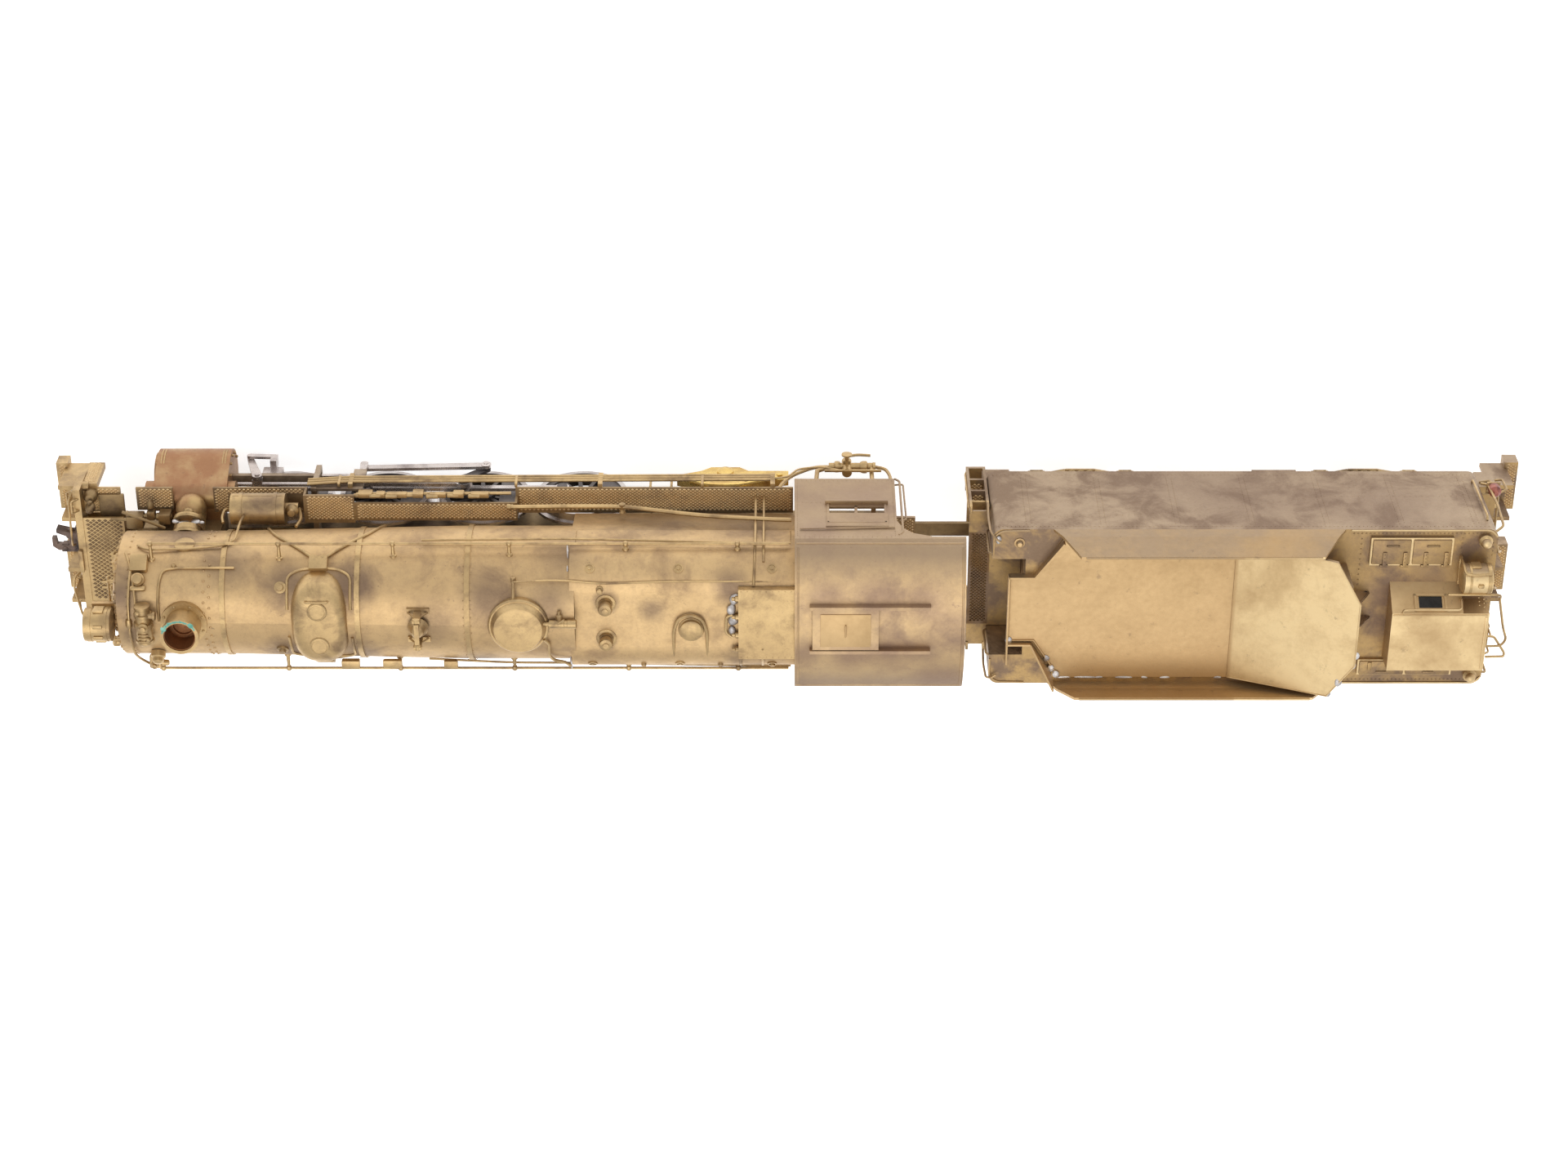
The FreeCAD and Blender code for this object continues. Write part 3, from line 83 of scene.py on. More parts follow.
class Nodes:
    """Small helper to write shader trees."""

    def __init__(self, name):
        self.mat = bpy.data.materials.new(name)
        self.mat.use_nodes = True
        self.tree = self.mat.node_tree
        self.bsdf = self.tree.nodes["Principled BSDF"]
        self.coord = self.add("ShaderNodeTexCoord").outputs["Object"]

    def add(self, kind, inputs=(), **settings):
        """A node with its settings and inputs, where a tuple is a colour."""
        node = self.tree.nodes.new(kind)
        for key, value in settings.items():
            setattr(node, key, value)
        for key, value in dict(inputs).items():
            if isinstance(value, bpy.types.NodeSocket):
                self.tree.links.new(value, node.inputs[key])
            else:
                node.inputs[key].default_value = (*value, 1.0) if isinstance(value, tuple) else value
        return node

    def link(self, value, key):
        self.tree.links.new(value, self.bsdf.inputs[key])

    def noise(self, scale, detail, rough=0.6, distortion=0.0):
        return self.add("ShaderNodeTexNoise", {"Vector": self.coord, "Scale": scale, "Detail": detail,
            "Roughness": rough, "Distortion": distortion}).outputs["Fac"]

    def ramp(self, value, low, high, out_low=0.0, out_high=1.0):
        return self.add("ShaderNodeMapRange", {"Value": value, "From Min": low, "From Max": high,
            "To Min": out_low, "To Max": out_high}).outputs["Result"]

    def math(self, operation, *values, clamp=False):
        return self.add("ShaderNodeMath", enumerate(values), operation=operation, use_clamp=clamp).outputs[0]

    def mix(self, factor, a, b):
        return self.add("ShaderNodeMix", {0: factor, 6: a, 7: b}, data_type="RGBA").outputs[2]

    def place(self):
        """The X, Y and Z of the shaded point, in metres."""
        return self.add("ShaderNodeSeparateXYZ", {0: self.coord}).outputs

    def facing(self):
        """The X, Y and Z of the surface's normal."""
        return self.add("ShaderNodeSeparateXYZ",
            {0: self.add("ShaderNodeNewGeometry").outputs["Normal"]}).outputs

    def bump(self, height, strength, distance):
        node = self.add("ShaderNodeBump", {"Height": height, "Strength": strength, "Distance": distance})
        self.link(node.outputs[0], "Normal")

    def near(self, point, radius, wobble):
        """1 at a point in millimetres, falling to 0 at the radius, with a broken edge."""
        gap = self.add("ShaderNodeVectorMath", {0: self.coord, 1: Vector(point) * MM}, operation="DISTANCE")
        r = radius * MM
        past = self.math("SUBTRACT", gap.outputs["Value"],
            self.math("MULTIPLY_ADD", wobble, r * 0.9, r * 0.35))
        return self.ramp(past, -r * 0.5, r * 0.3, 1.0, 0.0)


def side_shade(n):
    """1 on faces that look away from the centre line, where a darker tone paints shade on the sides."""
    return n.ramp(n.math("MULTIPLY", n.facing()[1], n.place()[1]), 0.003, 0.008)


def top_light_mask(n):
    """1 on faces that look up, where painted light and shade tones for the tops go."""
    return n.ramp(n.facing()[2], 0.5, 0.8)


def slope_sheet_highlight(n):
    """1 on the raised rear part of the bunker, where a painted highlight goes."""
    return n.math("MULTIPLY", top_light_mask(n), n.ramp(n.place()[0], -0.0978, -0.0972, 1.0, 0.0))


def apron_shade(n):
    """1 on the plate between cab and tender, where a near-black tone paints the shade between them."""
    x, y, _ = n.place()
    inside = n.ramp(n.math("ABSOLUTE", y), 0.0114, 0.0118, 1.0, 0.0)
    return n.math("MULTIPLY", inside, n.ramp(x, -0.0452, -0.0449))


def above_cylinder(n):
    """Near 1 on the steam pipe above the cylinder's jacket."""
    return n.ramp(n.place()[2], 0.0216, 0.0222, 0.0, 0.85)


# Every material, by its own name or by the node or slot that wears it.
M = {}


def brass(name, base, dark, light, tarnish=(0.48, 0.66), rough=(0.44, 0.6), metal=0.85, bump=0.25, scale=90.0,
          burns=(), specks=0.5, burn_colour=(0.13, 0.085, 0.07), painted_light_regions=(), late=()):
    """Cast or rolled brass: cloudy tarnish, fine dark specks, worn bright patches and a slight grain, with
    painted light and shade tones on the given regions.
    """
    n = Nodes(name)
    cloud = n.noise(scale, 6.0, 0.62, distortion=0.4)
    broad = n.noise(scale * 0.28, 3.0, 0.5)
    fine = n.noise(scale * 22, 3.0, 0.6)
    colour = n.mix(n.ramp(broad, 0.35, 0.65), base, light)
    # Painted light and shade: each region's mask gets its own tone.
    for mask, tone in painted_light_regions:
        colour = n.mix(mask(n), colour, tone)
    streak = n.ramp(n.noise(scale * 4, 8.0, 0.8), 0.45, 0.7, 0.0, 0.45)
    colour = n.mix(streak, colour, dark)
    colour = n.mix(n.ramp(cloud, tarnish[0], tarnish[1]), colour, dark)
    for mask, tone in late:
        colour = n.mix(mask(n), colour, n.mix(n.ramp(cloud, 0.4, 0.65), tone, dark))
    dust = n.ramp(n.noise(scale * 9, 5.0, 0.75), 0.62, 0.7, 0.0, specks)
    colour = n.mix(dust, colour, burn_colour)
    for point, radius, strength in burns:
        mask = n.math("MULTIPLY", n.near(point, radius, cloud), strength, clamp=True)
        colour = n.mix(mask, colour, burn_colour)
    n.link(colour, "Base Color")
    n.bsdf.inputs["Metallic"].default_value = metal
    gloss = n.math("ADD", n.ramp(cloud, 0.3, 0.7, rough[0], rough[1]), n.ramp(fine, 0.3, 0.7, -0.04, 0.05))
    n.link(gloss, "Roughness")
    n.bump(n.math("ADD", fine, n.math("MULTIPLY", n.noise(scale * 60, 2.0), 0.5)), bump, 0.00006)
    M[name] = n.mat


BASE = (0.52, 0.355, 0.18)
LIGHT = (0.63, 0.44, 0.225)
DARK = (0.31, 0.205, 0.12)

brass("boiler_brass", BASE, DARK, LIGHT, tarnish=(0.5, 0.74), burns=[((142.6, -6, 50), 6, 0.75),
    ((140, 3, 50), 5, 0.6), ((119.5, -12, 46), 7, 0.55), ((107, -8, 49), 6, 0.6), ((92, -8, 49), 6, 0.65),
    ((92, 8, 49), 6, 0.6), ((108, 8, 49), 6, 0.5), ((64, -6, 51), 7, 0.6), ((50, -5, 51), 6, 0.55),
    ((75.5, 0, 53), 8, 0.45), ((38.3, -4.6, 50.6), 3.4, 0.9), ((38.3, 4.6, 50.6), 2.6, 0.6),
    ((11.5, -8, 50), 5, 0.7), ((10, 8, 48), 4, 0.5), ((28.5, -2.5, 50.6), 3.6, 0.5), ((47, -13, 44), 7, 0.45),
    ((130, -13, 34), 9, 0.6), ((66, 11, 46), 6, 0.6), ((10, -13.4, 31), 12, 0.45),
    ((28, -13.4, 31), 12, 0.45)])
brass("trim_brass", (0.45, 0.31, 0.15), (0.25, 0.165, 0.09), (0.58, 0.41, 0.20), tarnish=(0.5, 0.7),
      rough=(0.36, 0.5), scale=140, burns=[((114, -15, 27), 7, 0.5)])
brass("tread_brass", (0.31, 0.21, 0.11), (0.20, 0.135, 0.08), (0.38, 0.265, 0.14), scale=120,
      rough=(0.45, 0.6))
brass("tread_ridge", (0.72, 0.52, 0.28), (0.50, 0.345, 0.195), (0.82, 0.61, 0.34), scale=120,
      tarnish=(0.52, 0.72), rough=(0.36, 0.5))
brass("cylinder_copper", (0.41, 0.27, 0.135), (0.32, 0.165, 0.085), (0.46, 0.32, 0.165), tarnish=(0.38, 0.6),
      scale=75, rough=(0.4, 0.5), late=[(above_cylinder, (0.50, 0.37, 0.16))])
# The cab's outward faces take a darker tone: painted shade on its sides.
brass("cab_brass", (0.54, 0.375, 0.20), (0.31, 0.215, 0.15), (0.62, 0.44, 0.24), tarnish=(0.53, 0.78),
      scale=70, burn_colour=(0.25, 0.16, 0.125), painted_light_regions=[(side_shade, (0.37, 0.265, 0.165))],
      burns=[((-5, 6.6, 53), 5, 0.6), ((-14, 6.8, 53), 6, 0.65), ((-23, 6.2, 53), 7, 0.65),
             ((-30, 6.4, 53), 5, 0.6), ((-9, -6.8, 53), 5, 0.55), ((-20, -6.6, 53), 6, 0.6),
             ((-30, -6.2, 53), 6, 0.55), ((-36, 0, 53), 7, 0.4), ((-34, 14, 50), 8, 0.5),
             ((-8, -18, 44), 6, 0.35), ((-18, -18.6, 30), 10, 0.35)])
# Painted light and shade on the tender: darker outward sides, a separate tone on faces that look up, and
# near-black painted shade on the plate between cab and tender.
brass("tender_brass", (0.46, 0.335, 0.215), (0.23, 0.155, 0.10), (0.54, 0.40, 0.26), tarnish=(0.46, 0.6),
      scale=95, rough=(0.42, 0.58), burn_colour=(0.2, 0.13, 0.09), painted_light_regions=[(side_shade, (0.36, 0.265, 0.175)),
    (top_light_mask, (0.44, 0.29, 0.125)), (apron_shade, (0.16, 0.09, 0.04))], burns=[((-129.5, -3, 45), 6, 0.85),
    ((-129.5, 5, 45), 4, 0.7), ((-140, -7, 45), 6, 0.55), ((-150, -5, 45), 4, 0.6),
    ((-100, -19.3, 30), 22, 0.5), ((-130, -19.3, 34), 20, 0.5), ((-80, -19.3, 22), 14, 0.4),
    ((-149, -16, 45), 4, 0.6), ((-140, 15, 45), 8, 0.3), ((-100, 19.3, 30), 20, 0.5)])
# Painted shade on the bunker's outward faces and a painted highlight on its raised slope sheet.
brass("bunker_brass", (0.55, 0.375, 0.19), (0.47, 0.315, 0.155), (0.60, 0.42, 0.215), tarnish=(0.5, 0.75),
      rough=(0.45, 0.6), scale=40, specks=0.3, painted_light_regions=[(side_shade, (0.33, 0.235, 0.145)),
    (slope_sheet_highlight, (0.76, 0.58, 0.32))])
# Darker copy of the tread brass: painted shade for the tread between cab and tender.
brass("apron_tread_shade", (0.26, 0.16, 0.07), (0.15, 0.09, 0.045), (0.34, 0.21, 0.09), scale=120)
brass("frame_dark", (0.26, 0.175, 0.085), (0.14, 0.09, 0.055), (0.36, 0.25, 0.12), scale=100)
brass("crosshead_guides", (0.33, 0.25, 0.17), (0.2, 0.14, 0.1), (0.42, 0.33, 0.24), scale=120)
brass("gear_brass", (0.52, 0.36, 0.15), (0.3, 0.2, 0.1), (0.66, 0.47, 0.21), scale=200)
brass("truck_brass", (0.66, 0.46, 0.145), (0.40, 0.22, 0.08), (0.78, 0.57, 0.2), scale=110,
      tarnish=(0.55, 0.72), rough=(0.2, 0.36))
brass("tender_trucks", (0.42, 0.30, 0.15), (0.24, 0.165, 0.09), (0.54, 0.39, 0.2), scale=110)
M["tender_truck_front"] = M["tender_truck_rear"] = M["tender_trucks"]
brass("motor_steel", (0.33, 0.33, 0.34), (0.18, 0.18, 0.19), (0.45, 0.45, 0.46), scale=120)
brass("rod_nickel", (0.52, 0.455, 0.42), (0.30, 0.25, 0.235), (0.66, 0.60, 0.57), scale=160,
      rough=(0.2, 0.34), burn_colour=(0.1, 0.08, 0.075))
brass("coupler_iron", (0.10, 0.075, 0.07), (0.05, 0.04, 0.04), (0.2, 0.14, 0.11), scale=300, rough=(0.4, 0.6),
      metal=0.8, bump=0.6)
brass("copper_bore", (0.34, 0.15, 0.06), (0.2, 0.085, 0.04), (0.42, 0.22, 0.1), scale=160)
brass("solder", (0.55, 0.52, 0.50), (0.36, 0.32, 0.31), (0.72, 0.70, 0.69), scale=300, rough=(0.28, 0.5),
      bump=0.6, burn_colour=(0.3, 0.24, 0.2))
brass("patina", (0.16, 0.42, 0.33), (0.09, 0.28, 0.22), (0.26, 0.55, 0.44), scale=400, metal=0.05,
      rough=(0.6, 0.85), bump=0.8, burn_colour=(0.12, 0.1, 0.06))
brass("red_lens", (0.30, 0.075, 0.055), (0.16, 0.05, 0.04), (0.4, 0.12, 0.08), scale=400, metal=0.2,
      rough=(0.25, 0.45), burn_colour=(0.1, 0.04, 0.03))
# Near-black material that paints the shade inside openings.
brass("painted_shade_black", (0.012, 0.010, 0.008), (0.006, 0.005, 0.004), (0.02, 0.016, 0.012), scale=300, metal=0.0,
      rough=(0.6, 0.8))


def wheel_material(name, x, z, rim):
    """Bright nickel tread outside the rim radius, dull dark metal inside it."""
    n = Nodes(name)
    place_x, _, place_z = n.place()
    dx = n.math("SUBTRACT", place_x, x * MM)
    dz = n.math("SUBTRACT", place_z, z * MM)
    radius = n.math("SQRT", n.math("ADD", n.math("MULTIPLY", dx, dx), n.math("MULTIPLY", dz, dz)))
    cloud = n.noise(160, 5.0)
    fine = n.noise(2600, 3.0)
    inside = n.mix(n.ramp(cloud, 0.35, 0.65), (0.085, 0.078, 0.082), (0.19, 0.165, 0.15))
    inside = n.mix(n.ramp(fine, 0.62, 0.72), inside, (0.30, 0.26, 0.22))
    tread = n.mix(n.ramp(cloud, 0.4, 0.7), (0.62, 0.58, 0.56), (0.40, 0.35, 0.33))
    side = n.ramp(radius, (rim - 0.03) * MM, (rim + 0.03) * MM)
    n.link(n.mix(side, inside, tread), "Base Color")
    n.bsdf.inputs["Metallic"].default_value = 0.95
    n.link(n.math("ADD", n.ramp(side, 0, 1, 0.45, 0.22), n.ramp(cloud, 0.3, 0.7, -0.05, 0.08)), "Roughness")
    n.bump(fine, 0.25, 0.00005)
    return n.mat


# Axle X, axle Z and the radius inside the rim.
WHEELS = {"lead_wheels": (137.0, 4.9, 3.3), "trailing_wheels": (13.2, 6.2, 4.6)}
for number, x in enumerate(DRIVER_X):
    WHEELS["driver_%d" % (number + 1)] = (x, DRIVER_Z, 9.05)
for truck, places in (("front", (-57.0, -77.0)), ("rear", (-121.0, -141.0))):
    for number, x in enumerate(places):
        WHEELS["tender_wheels_%s_%d" % (truck, number + 1)] = (x, 5.6, 4.0)
for node_name, (x, z, rim) in WHEELS.items():
    M[node_name] = wheel_material("steel_" + node_name, x, z, rim)

slots = {entry["node"]: entry["material_slot"] for entry in frame["record"]["subparts"]}
for node_name, node in frame["nodes"].items():
    material = M.get(node_name) or M[slots[node_name]]
    if not node.material_slots:
        node.data.materials.append(material)
    for material_slot in node.material_slots:
        material_slot.material = material


# ---------------------------------------------------------------- mesh building


class Build:
    """Collects closed shapes, in millimetres, into one mesh."""

    def __init__(self):
        self.verts = []
        self.faces = []

    def add(self, verts, faces):
        start = len(self.verts)
        self.verts += [tuple(v) for v in verts]
        self.faces += [[i + start for i in face] for face in faces]

    def block(self, low, high, bevel=0.12, turn=None):
        """A box with chamfered edges, turned about its centre if asked."""
        bm = bmesh.new()
        bmesh.ops.create_cube(bm, size=1.0)
        size = [b - a for a, b in zip(low, high)]
        centre = [(a + b) / 2 for a, b in zip(low, high)]
        for v in bm.verts:
            v.co = Vector([c * s + m for c, s, m in zip(v.co, size, centre)])
        width = min(bevel, min(size) * 0.35)
        if width > 0.01:
            bmesh.ops.bevel(bm, geom=bm.edges[:], offset=width, segments=2, affect="EDGES", profile=0.6)
        if turn is not None:
            pivot = Vector(centre)
            for v in bm.verts:
                v.co = turn @ (v.co - pivot) + pivot
        bm.verts.index_update()
        self.add([v.co.copy() for v in bm.verts], [[v.index for v in f.verts] for f in bm.faces])
        bm.free()

    def lathe(self, origin, axis, profile, sides=24):
        """A turned shape: (distance along the axis, radius) pairs, closed at both ends."""
        axis = Vector(axis).normalized()
        side = axis.orthogonal().normalized()
        other = axis.cross(side)
        origin = Vector(origin)
        verts, rings = [], []
        for along, radius in profile:
            if radius <= 1e-4:
                rings.append([len(verts)])
                verts.append(origin + axis * along)
                continue
            ring = []
            for i in range(sides):
                a = 2 * math.pi * i / sides
                ring.append(len(verts))
                verts.append(origin + axis * along + (side * math.cos(a) + other * math.sin(a)) * radius)
            rings.append(ring)
        faces = []
        for a, b in zip(rings, rings[1:]):
            for i in range(sides):
                j = (i + 1) % sides
                if len(a) == 1:
                    faces.append([a[0], b[j], b[i]])
                elif len(b) == 1:
                    faces.append([a[i], a[j], b[0]])
                else:
                    faces.append([a[i], a[j], b[j], b[i]])
        if len(rings[0]) > 1:
            faces.append(rings[0][::-1])
        if len(rings[-1]) > 1:
            faces.append(rings[-1])
        self.add(verts, faces)

    def tube(self, points, radius, sides=8, bend=0.0):
        """A round wire along the points; corners are rounded off over the bend length."""
        pts = [Vector(p) for p in points]
        path = [pts[0]]
        for i in range(1, len(pts) - 1):
            before, after = pts[i - 1] - pts[i], pts[i + 1] - pts[i]
            reach = min(bend, before.length * 0.45, after.length * 0.45)
            if reach < 0.02:
                path.append(pts[i])
                continue
            a, b = pts[i] + before.normalized() * reach, pts[i] + after.normalized() * reach
            for k in range(6):
                t = k / 5
                path.append(a * (1 - t) ** 2 + pts[i] * 2 * t * (1 - t) + b * t * t)
        path.append(pts[-1])
        normal = (path[1] - path[0]).orthogonal().normalized()
        verts = []
        for i, p in enumerate(path):
            ahead = (path[min(i + 1, len(path) - 1)] - path[max(i - 1, 0)]).normalized()
            normal = (normal - ahead * normal.dot(ahead)).normalized()
            cross = ahead.cross(normal)
            for k in range(sides):
                a = 2 * math.pi * k / sides
                verts.append(p + (normal * math.cos(a) + cross * math.sin(a)) * radius)
        faces = []
        for i in range(len(path) - 1):
            for k in range(sides):
                j = (k + 1) % sides
                faces.append([i * sides + k, i * sides + j, (i + 1) * sides + j, (i + 1) * sides + k])
        faces.append(list(range(sides))[::-1])
        last = (len(path) - 1) * sides
        faces.append([last + k for k in range(sides)])
        self.add(verts, faces)

    def plate(self, corners):
        """Four corners of one face, then the four behind them."""
        self.add(corners, [[0, 1, 2, 3], [7, 6, 5, 4], [0, 4, 5, 1], [1, 5, 6, 2], [2, 6, 7, 3],
            [3, 7, 4, 0]])

    def wedge(self, corners):
        """Three corners of one face, then the three behind them."""
        self.add(corners, [[0, 1, 2], [5, 4, 3], [0, 3, 4, 1], [1, 4, 5, 2], [2, 5, 3, 0]])

    def bolts(self, centre, axis, reach, count, profile, turn=0.0, keep=lambda a: True):
        """Hexagonal bolts on a circle that faces along X."""
        x, y, z = centre
        for i in range(count):
            a = 2 * math.pi * (i + turn) / count
            if keep(a):
                self.lathe((x, y + reach * math.sin(a), z + reach * math.cos(a)), axis, profile, 6)

    def rivet(self, point, normal, r=0.2, height=0.13):
        self.lathe(Vector(point) - Vector(normal).normalized() * 0.08, normal, [(0, r), (0.08, r),
            (0.08 + height * 0.6, r * 0.8), (0.08 + height, r * 0.35), (0.08 + height * 1.02, 0)], sides=7)

    def rivets(self, start, end, count, normal, r=0.2, height=0.13):
        a, b = Vector(start), Vector(end)
        for i in range(count):
            self.rivet(a.lerp(b, i / max(1, count - 1)), normal, r, height)

    def blob(self, centre, size, seed=0, rough=0.28):
        """A lump of solder or patina."""
        bm = bmesh.new()
        bmesh.ops.create_icosphere(bm, subdivisions=3, radius=1.0)
        lumps = random.Random(seed)
        spots = [(Vector([lumps.uniform(-1, 1) for _ in range(3)]).normalized(), lumps.uniform(-rough, rough))
                 for _ in range(7)]
        for v in bm.verts:
            d = v.co.normalized()
            swell = 1.0 + sum(s * max(0.0, d.dot(spot)) ** 3 for spot, s in spots)
            v.co = Vector([c * s for c, s in zip(d * swell, size)]) + Vector(centre)
        bm.verts.index_update()
        self.add([v.co.copy() for v in bm.verts], [[v.index for v in f.verts] for f in bm.faces])
        bm.free()

    def tread(self, origin, u, v, span_u, span_v, normal, keep=None, pitch=(0.95, 0.7), height=0.2):
        """Raised diamonds in staggered rows over a flat patch."""
        origin, u, v, normal = Vector(origin), Vector(u), Vector(v), Vector(normal)
        rows = int(span_v / (pitch[1] / 2))
        for row in range(1, rows):
            shift = pitch[0] / 2 if row % 2 else 0.0
            count = int((span_u - shift) / pitch[0])
            for column in range(count):
                cu = pitch[0] * (column + 0.5) + shift
                cv = row * pitch[1] / 2
                if cu + pitch[0] * 0.5 > span_u or cv + pitch[1] * 0.5 > span_v:
                    continue
                centre = origin + u * cu + v * cv
                if keep is not None and not keep(centre):
                    continue
                hu, hv = pitch[0] * 0.46, pitch[1] * 0.46
                down = normal * -0.05
                base = [centre + u * hu + down, centre + v * hv + down, centre - u * hu + down,
                        centre - v * hv + down]
                top = [centre + u * hu * 0.3 + normal * height, centre + v * hv * 0.3 + normal * height,
                       centre - u * hu * 0.3 + normal * height, centre - v * hv * 0.3 + normal * height]
                self.add(base + top, [[3, 2, 1, 0], [4, 5, 6, 7], [0, 1, 5, 4], [1, 2, 6, 5], [2, 3, 7, 6],
                    [3, 0, 4, 7]])

    def done(self, name, body, slot, material=None, smooth=40.0, replaces=()):
        mesh = bpy.data.meshes.new(name)
        mesh.from_pydata([(x * MM, y * MM, z * MM) for x, y, z in self.verts], [], self.faces)
        bm = bmesh.new()
        bm.from_mesh(mesh)
        bmesh.ops.recalc_face_normals(bm, faces=bm.faces)
        bm.to_mesh(mesh)
        bm.free()
        mesh.polygons.foreach_set("use_smooth", [smooth > 0] * len(mesh.polygons))
        if smooth > 0:
            mesh.set_sharp_from_angle(angle=math.radians(smooth))
        piece = bpy.data.objects.new(name, mesh)
        bpy.context.scene.collection.objects.link(piece)
        mesh.materials.append(M[material or slot])
        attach(piece, body)
        if replaces:
            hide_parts(*replaces)
        return piece


def on(side, *points):
    """The points on one side of the centre line."""
    return [(x, side * y, z) for x, y, z in points]


def barrel_radius(x):
    """The smokebox is straight, and the barrel behind it widens to the firebox."""
    if x >= SMOKEBOX_REAR:
        return SMOKEBOX_R
    return SMOKEBOX_R + 1.1 * min(1.0, (SMOKEBOX_REAR - x) / 51.4)


def on_barrel(x, degrees, lift=0.0):
    """A point on the boiler, with the angle measured from the top towards the right side."""
    a = math.radians(degrees)
    r = barrel_radius(x) + lift
    return Vector((x, -r * math.sin(a), BOILER_Z + r * math.cos(a)))


def barrel_normal(degrees):
    a = math.radians(degrees)
    return Vector((0, -math.sin(a), math.cos(a)))


# ---------------------------------------------------------------- diamond tread


def clear_of_tank(p):
    """Away from the saddle of the air tank."""
    return p.x > 122.6 or not 12.3 < abs(p.y) < 16.1


# Ends in X, edges in Y and top of each patch beside the boiler.
PATCHES = (((134.7, 142.6), (12.2, 17.4), BOARD_Z, None), ((105.6, 125.6), (11.7, 17.4), BOARD_Z,
    clear_of_tank), ((94.4, 105.3), (11.2, 17.4), HIGH_BOARD_Z, None), ((58.7, 94.2), (11.6, 15.5),
    HIGH_BOARD_Z, None), ((-1.8, 58.9), (11.5, 17.4), BOARD_Z, None),
           ((146.7, 154.7), (10.7, 16.3), 20.6, None))
b = Build()
for side in (-1, 1):
    for (x0, x1), (inner, outer), z, keep in PATCHES:
        b.tread((x0, inner if side > 0 else -outer, z), X, Y, x1 - x0, outer - inner, Z, keep)
    b.tread((152.0, 17.4 * side, 10.6), X, Z, 2.9, 9.4, Y * side)
    b.tread((160.9, side * 4.8 if side > 0 else -15.8, 8.2), X, Y, 2.0, 11.0, Z)
b.tread((-28.4, -15.0, CAB_FLOOR_Z), X, Y, 8.2, 30.0, Z)
b.done("tread_locomotive", LOCO, "tread_brass", "tread_ridge", smooth=0)

b = Build()
b.tread((146.0, -10.4, 23.8), X, Y, 8.7, 20.8, Z, pitch=(1.3, 1.0),
        keep=lambda p: not (p.x < 149.3 and abs(p.y) < 2.0))
b.done("tread_pilot", LOCO, "trim_brass", "tread_brass", smooth=0)

b = Build()
# Tread between cab and tender, in the darker material that paints the shade there.
b.tread((-44.7, -11.4, CAB_FLOOR_Z), X, Y, 4.2, 22.8, Z, pitch=(0.85, 0.75))
b.done("tread_apron_shaded", TENDER, "tender_brass", "apron_tread_shade", smooth=0)

b = Build()
b.tread((-155.6, -6.8, 22.4), X, Y, 2.5, 13.6, Z)
for side in (-1, 1):
    b.tread((-164.3, -16.2 if side < 0 else 4.8, 8.6), X, Y, 2.7, 11.4, Z)
    for z in (19.8, 25.0):
        b.tread((-44.0, -17.1 if side < 0 else 14.6, z), X, Y, 3.0, 2.5, Z)
b.done("tread_tender", TENDER, "tread_brass", "tread_ridge", smooth=0)

# ---------------------------------------------------------------- boiler rivets

b = Build()
# Rivet rows of the smokebox, bolts of its ring and door, the barrel's seams and the firebox's edges.
for x, spread in ((124.6, 0.0), (123.4, 5.0)):
    for i in range(-11, 12):
        degrees = i * 10.0 + spread
        if -112 < degrees < 112 and not 62 < degrees < 88:
            b.rivet(on_barrel(x, degrees), barrel_normal(degrees), 0.32, 0.22)
for i in range(-13, 14):
    degrees = i * 8.5
    b.rivet(on_barrel(141.0, degrees), barrel_normal(degrees), 0.26, 0.18)
b.bolts((143.1, 0, BOILER_Z), X, 12.55, 36, [(0, 0.42), (0.75, 0.42), (0.9, 0.3), (1.0, 0)])
b.bolts((144.0, 0, BOILER_Z), X, 9.6, 8, [(0, 0.5), (0.6, 0.5), (0.8, 0.2), (0.82, 0)], 0.5)
for x in (90.9, 92.3, 67.2, 68.8):
    for i in range(-12, 13):
        degrees = i * 7.5
        if abs(degrees) > 22 or x < 70:
            b.rivet(on_barrel(x, degrees, 0.28), barrel_normal(degrees), 0.1, 0.07)
for i in range(14):
    for side in (-1, 1):
        for x in (-1.4, 44.9):
            b.rivet((x, side * 14.5, 36.8 + i * 0.42), Y * side, 0.16, 0.1)
b.done("boiler_rivets", LOCO, "boiler_brass")

# ---------------------------------------------------------------- smokebox fittings

b = Build()
# Hinge straps and dart on the smokebox door, with the front handrail.
for z in (34.6, 41.6):
    b.block((144.4, -9.2, z - 0.5), (145.2, 2.0, z + 0.5), 0.15)
    b.lathe((144.6, -9.6, z - 0.9), Z, [(0, 0.5), (1.8, 0.5)], 10)
b.lathe((145.5, 0, BOILER_Z), X, [(0, 1.5), (0.5, 1.4), (0.7, 0.8), (1.6, 0.7), (1.9, 0.4), (1.9, 0)], 16)
b.tube([(146.8, -1.8, BOILER_Z + 0.2), (146.8, 1.8, BOILER_Z - 0.2)], 0.3)
for y in (-7.4, 7.4):
    b.tube([(143.6, y, 46.0), (145.8, y, 46.0)], 0.25)
b.tube([(145.6, -8.4, 45.9), (145.6, 8.4, 45.9)], 0.25)
# Front handrail loop over the smokebox shoulder.
b.tube([(139.4, -12.5, 43.6), (140.2, -10.6, 48.0), (140.6, -5.0, 51.6), (140.8, 3.0, 52.0),
        (140.8, 8.6, 49.8), (140.4, 12.4, 45.8), (138.4, 14.6, 44.6), (136.8, 15.2, 44.4)], 0.3, bend=2.4)
b.lathe((140.8, -1.0, 51.6), Y, [(0, 0.6), (0.6, 0.75), (1.6, 0.75), (2.2, 0.5)], 12)
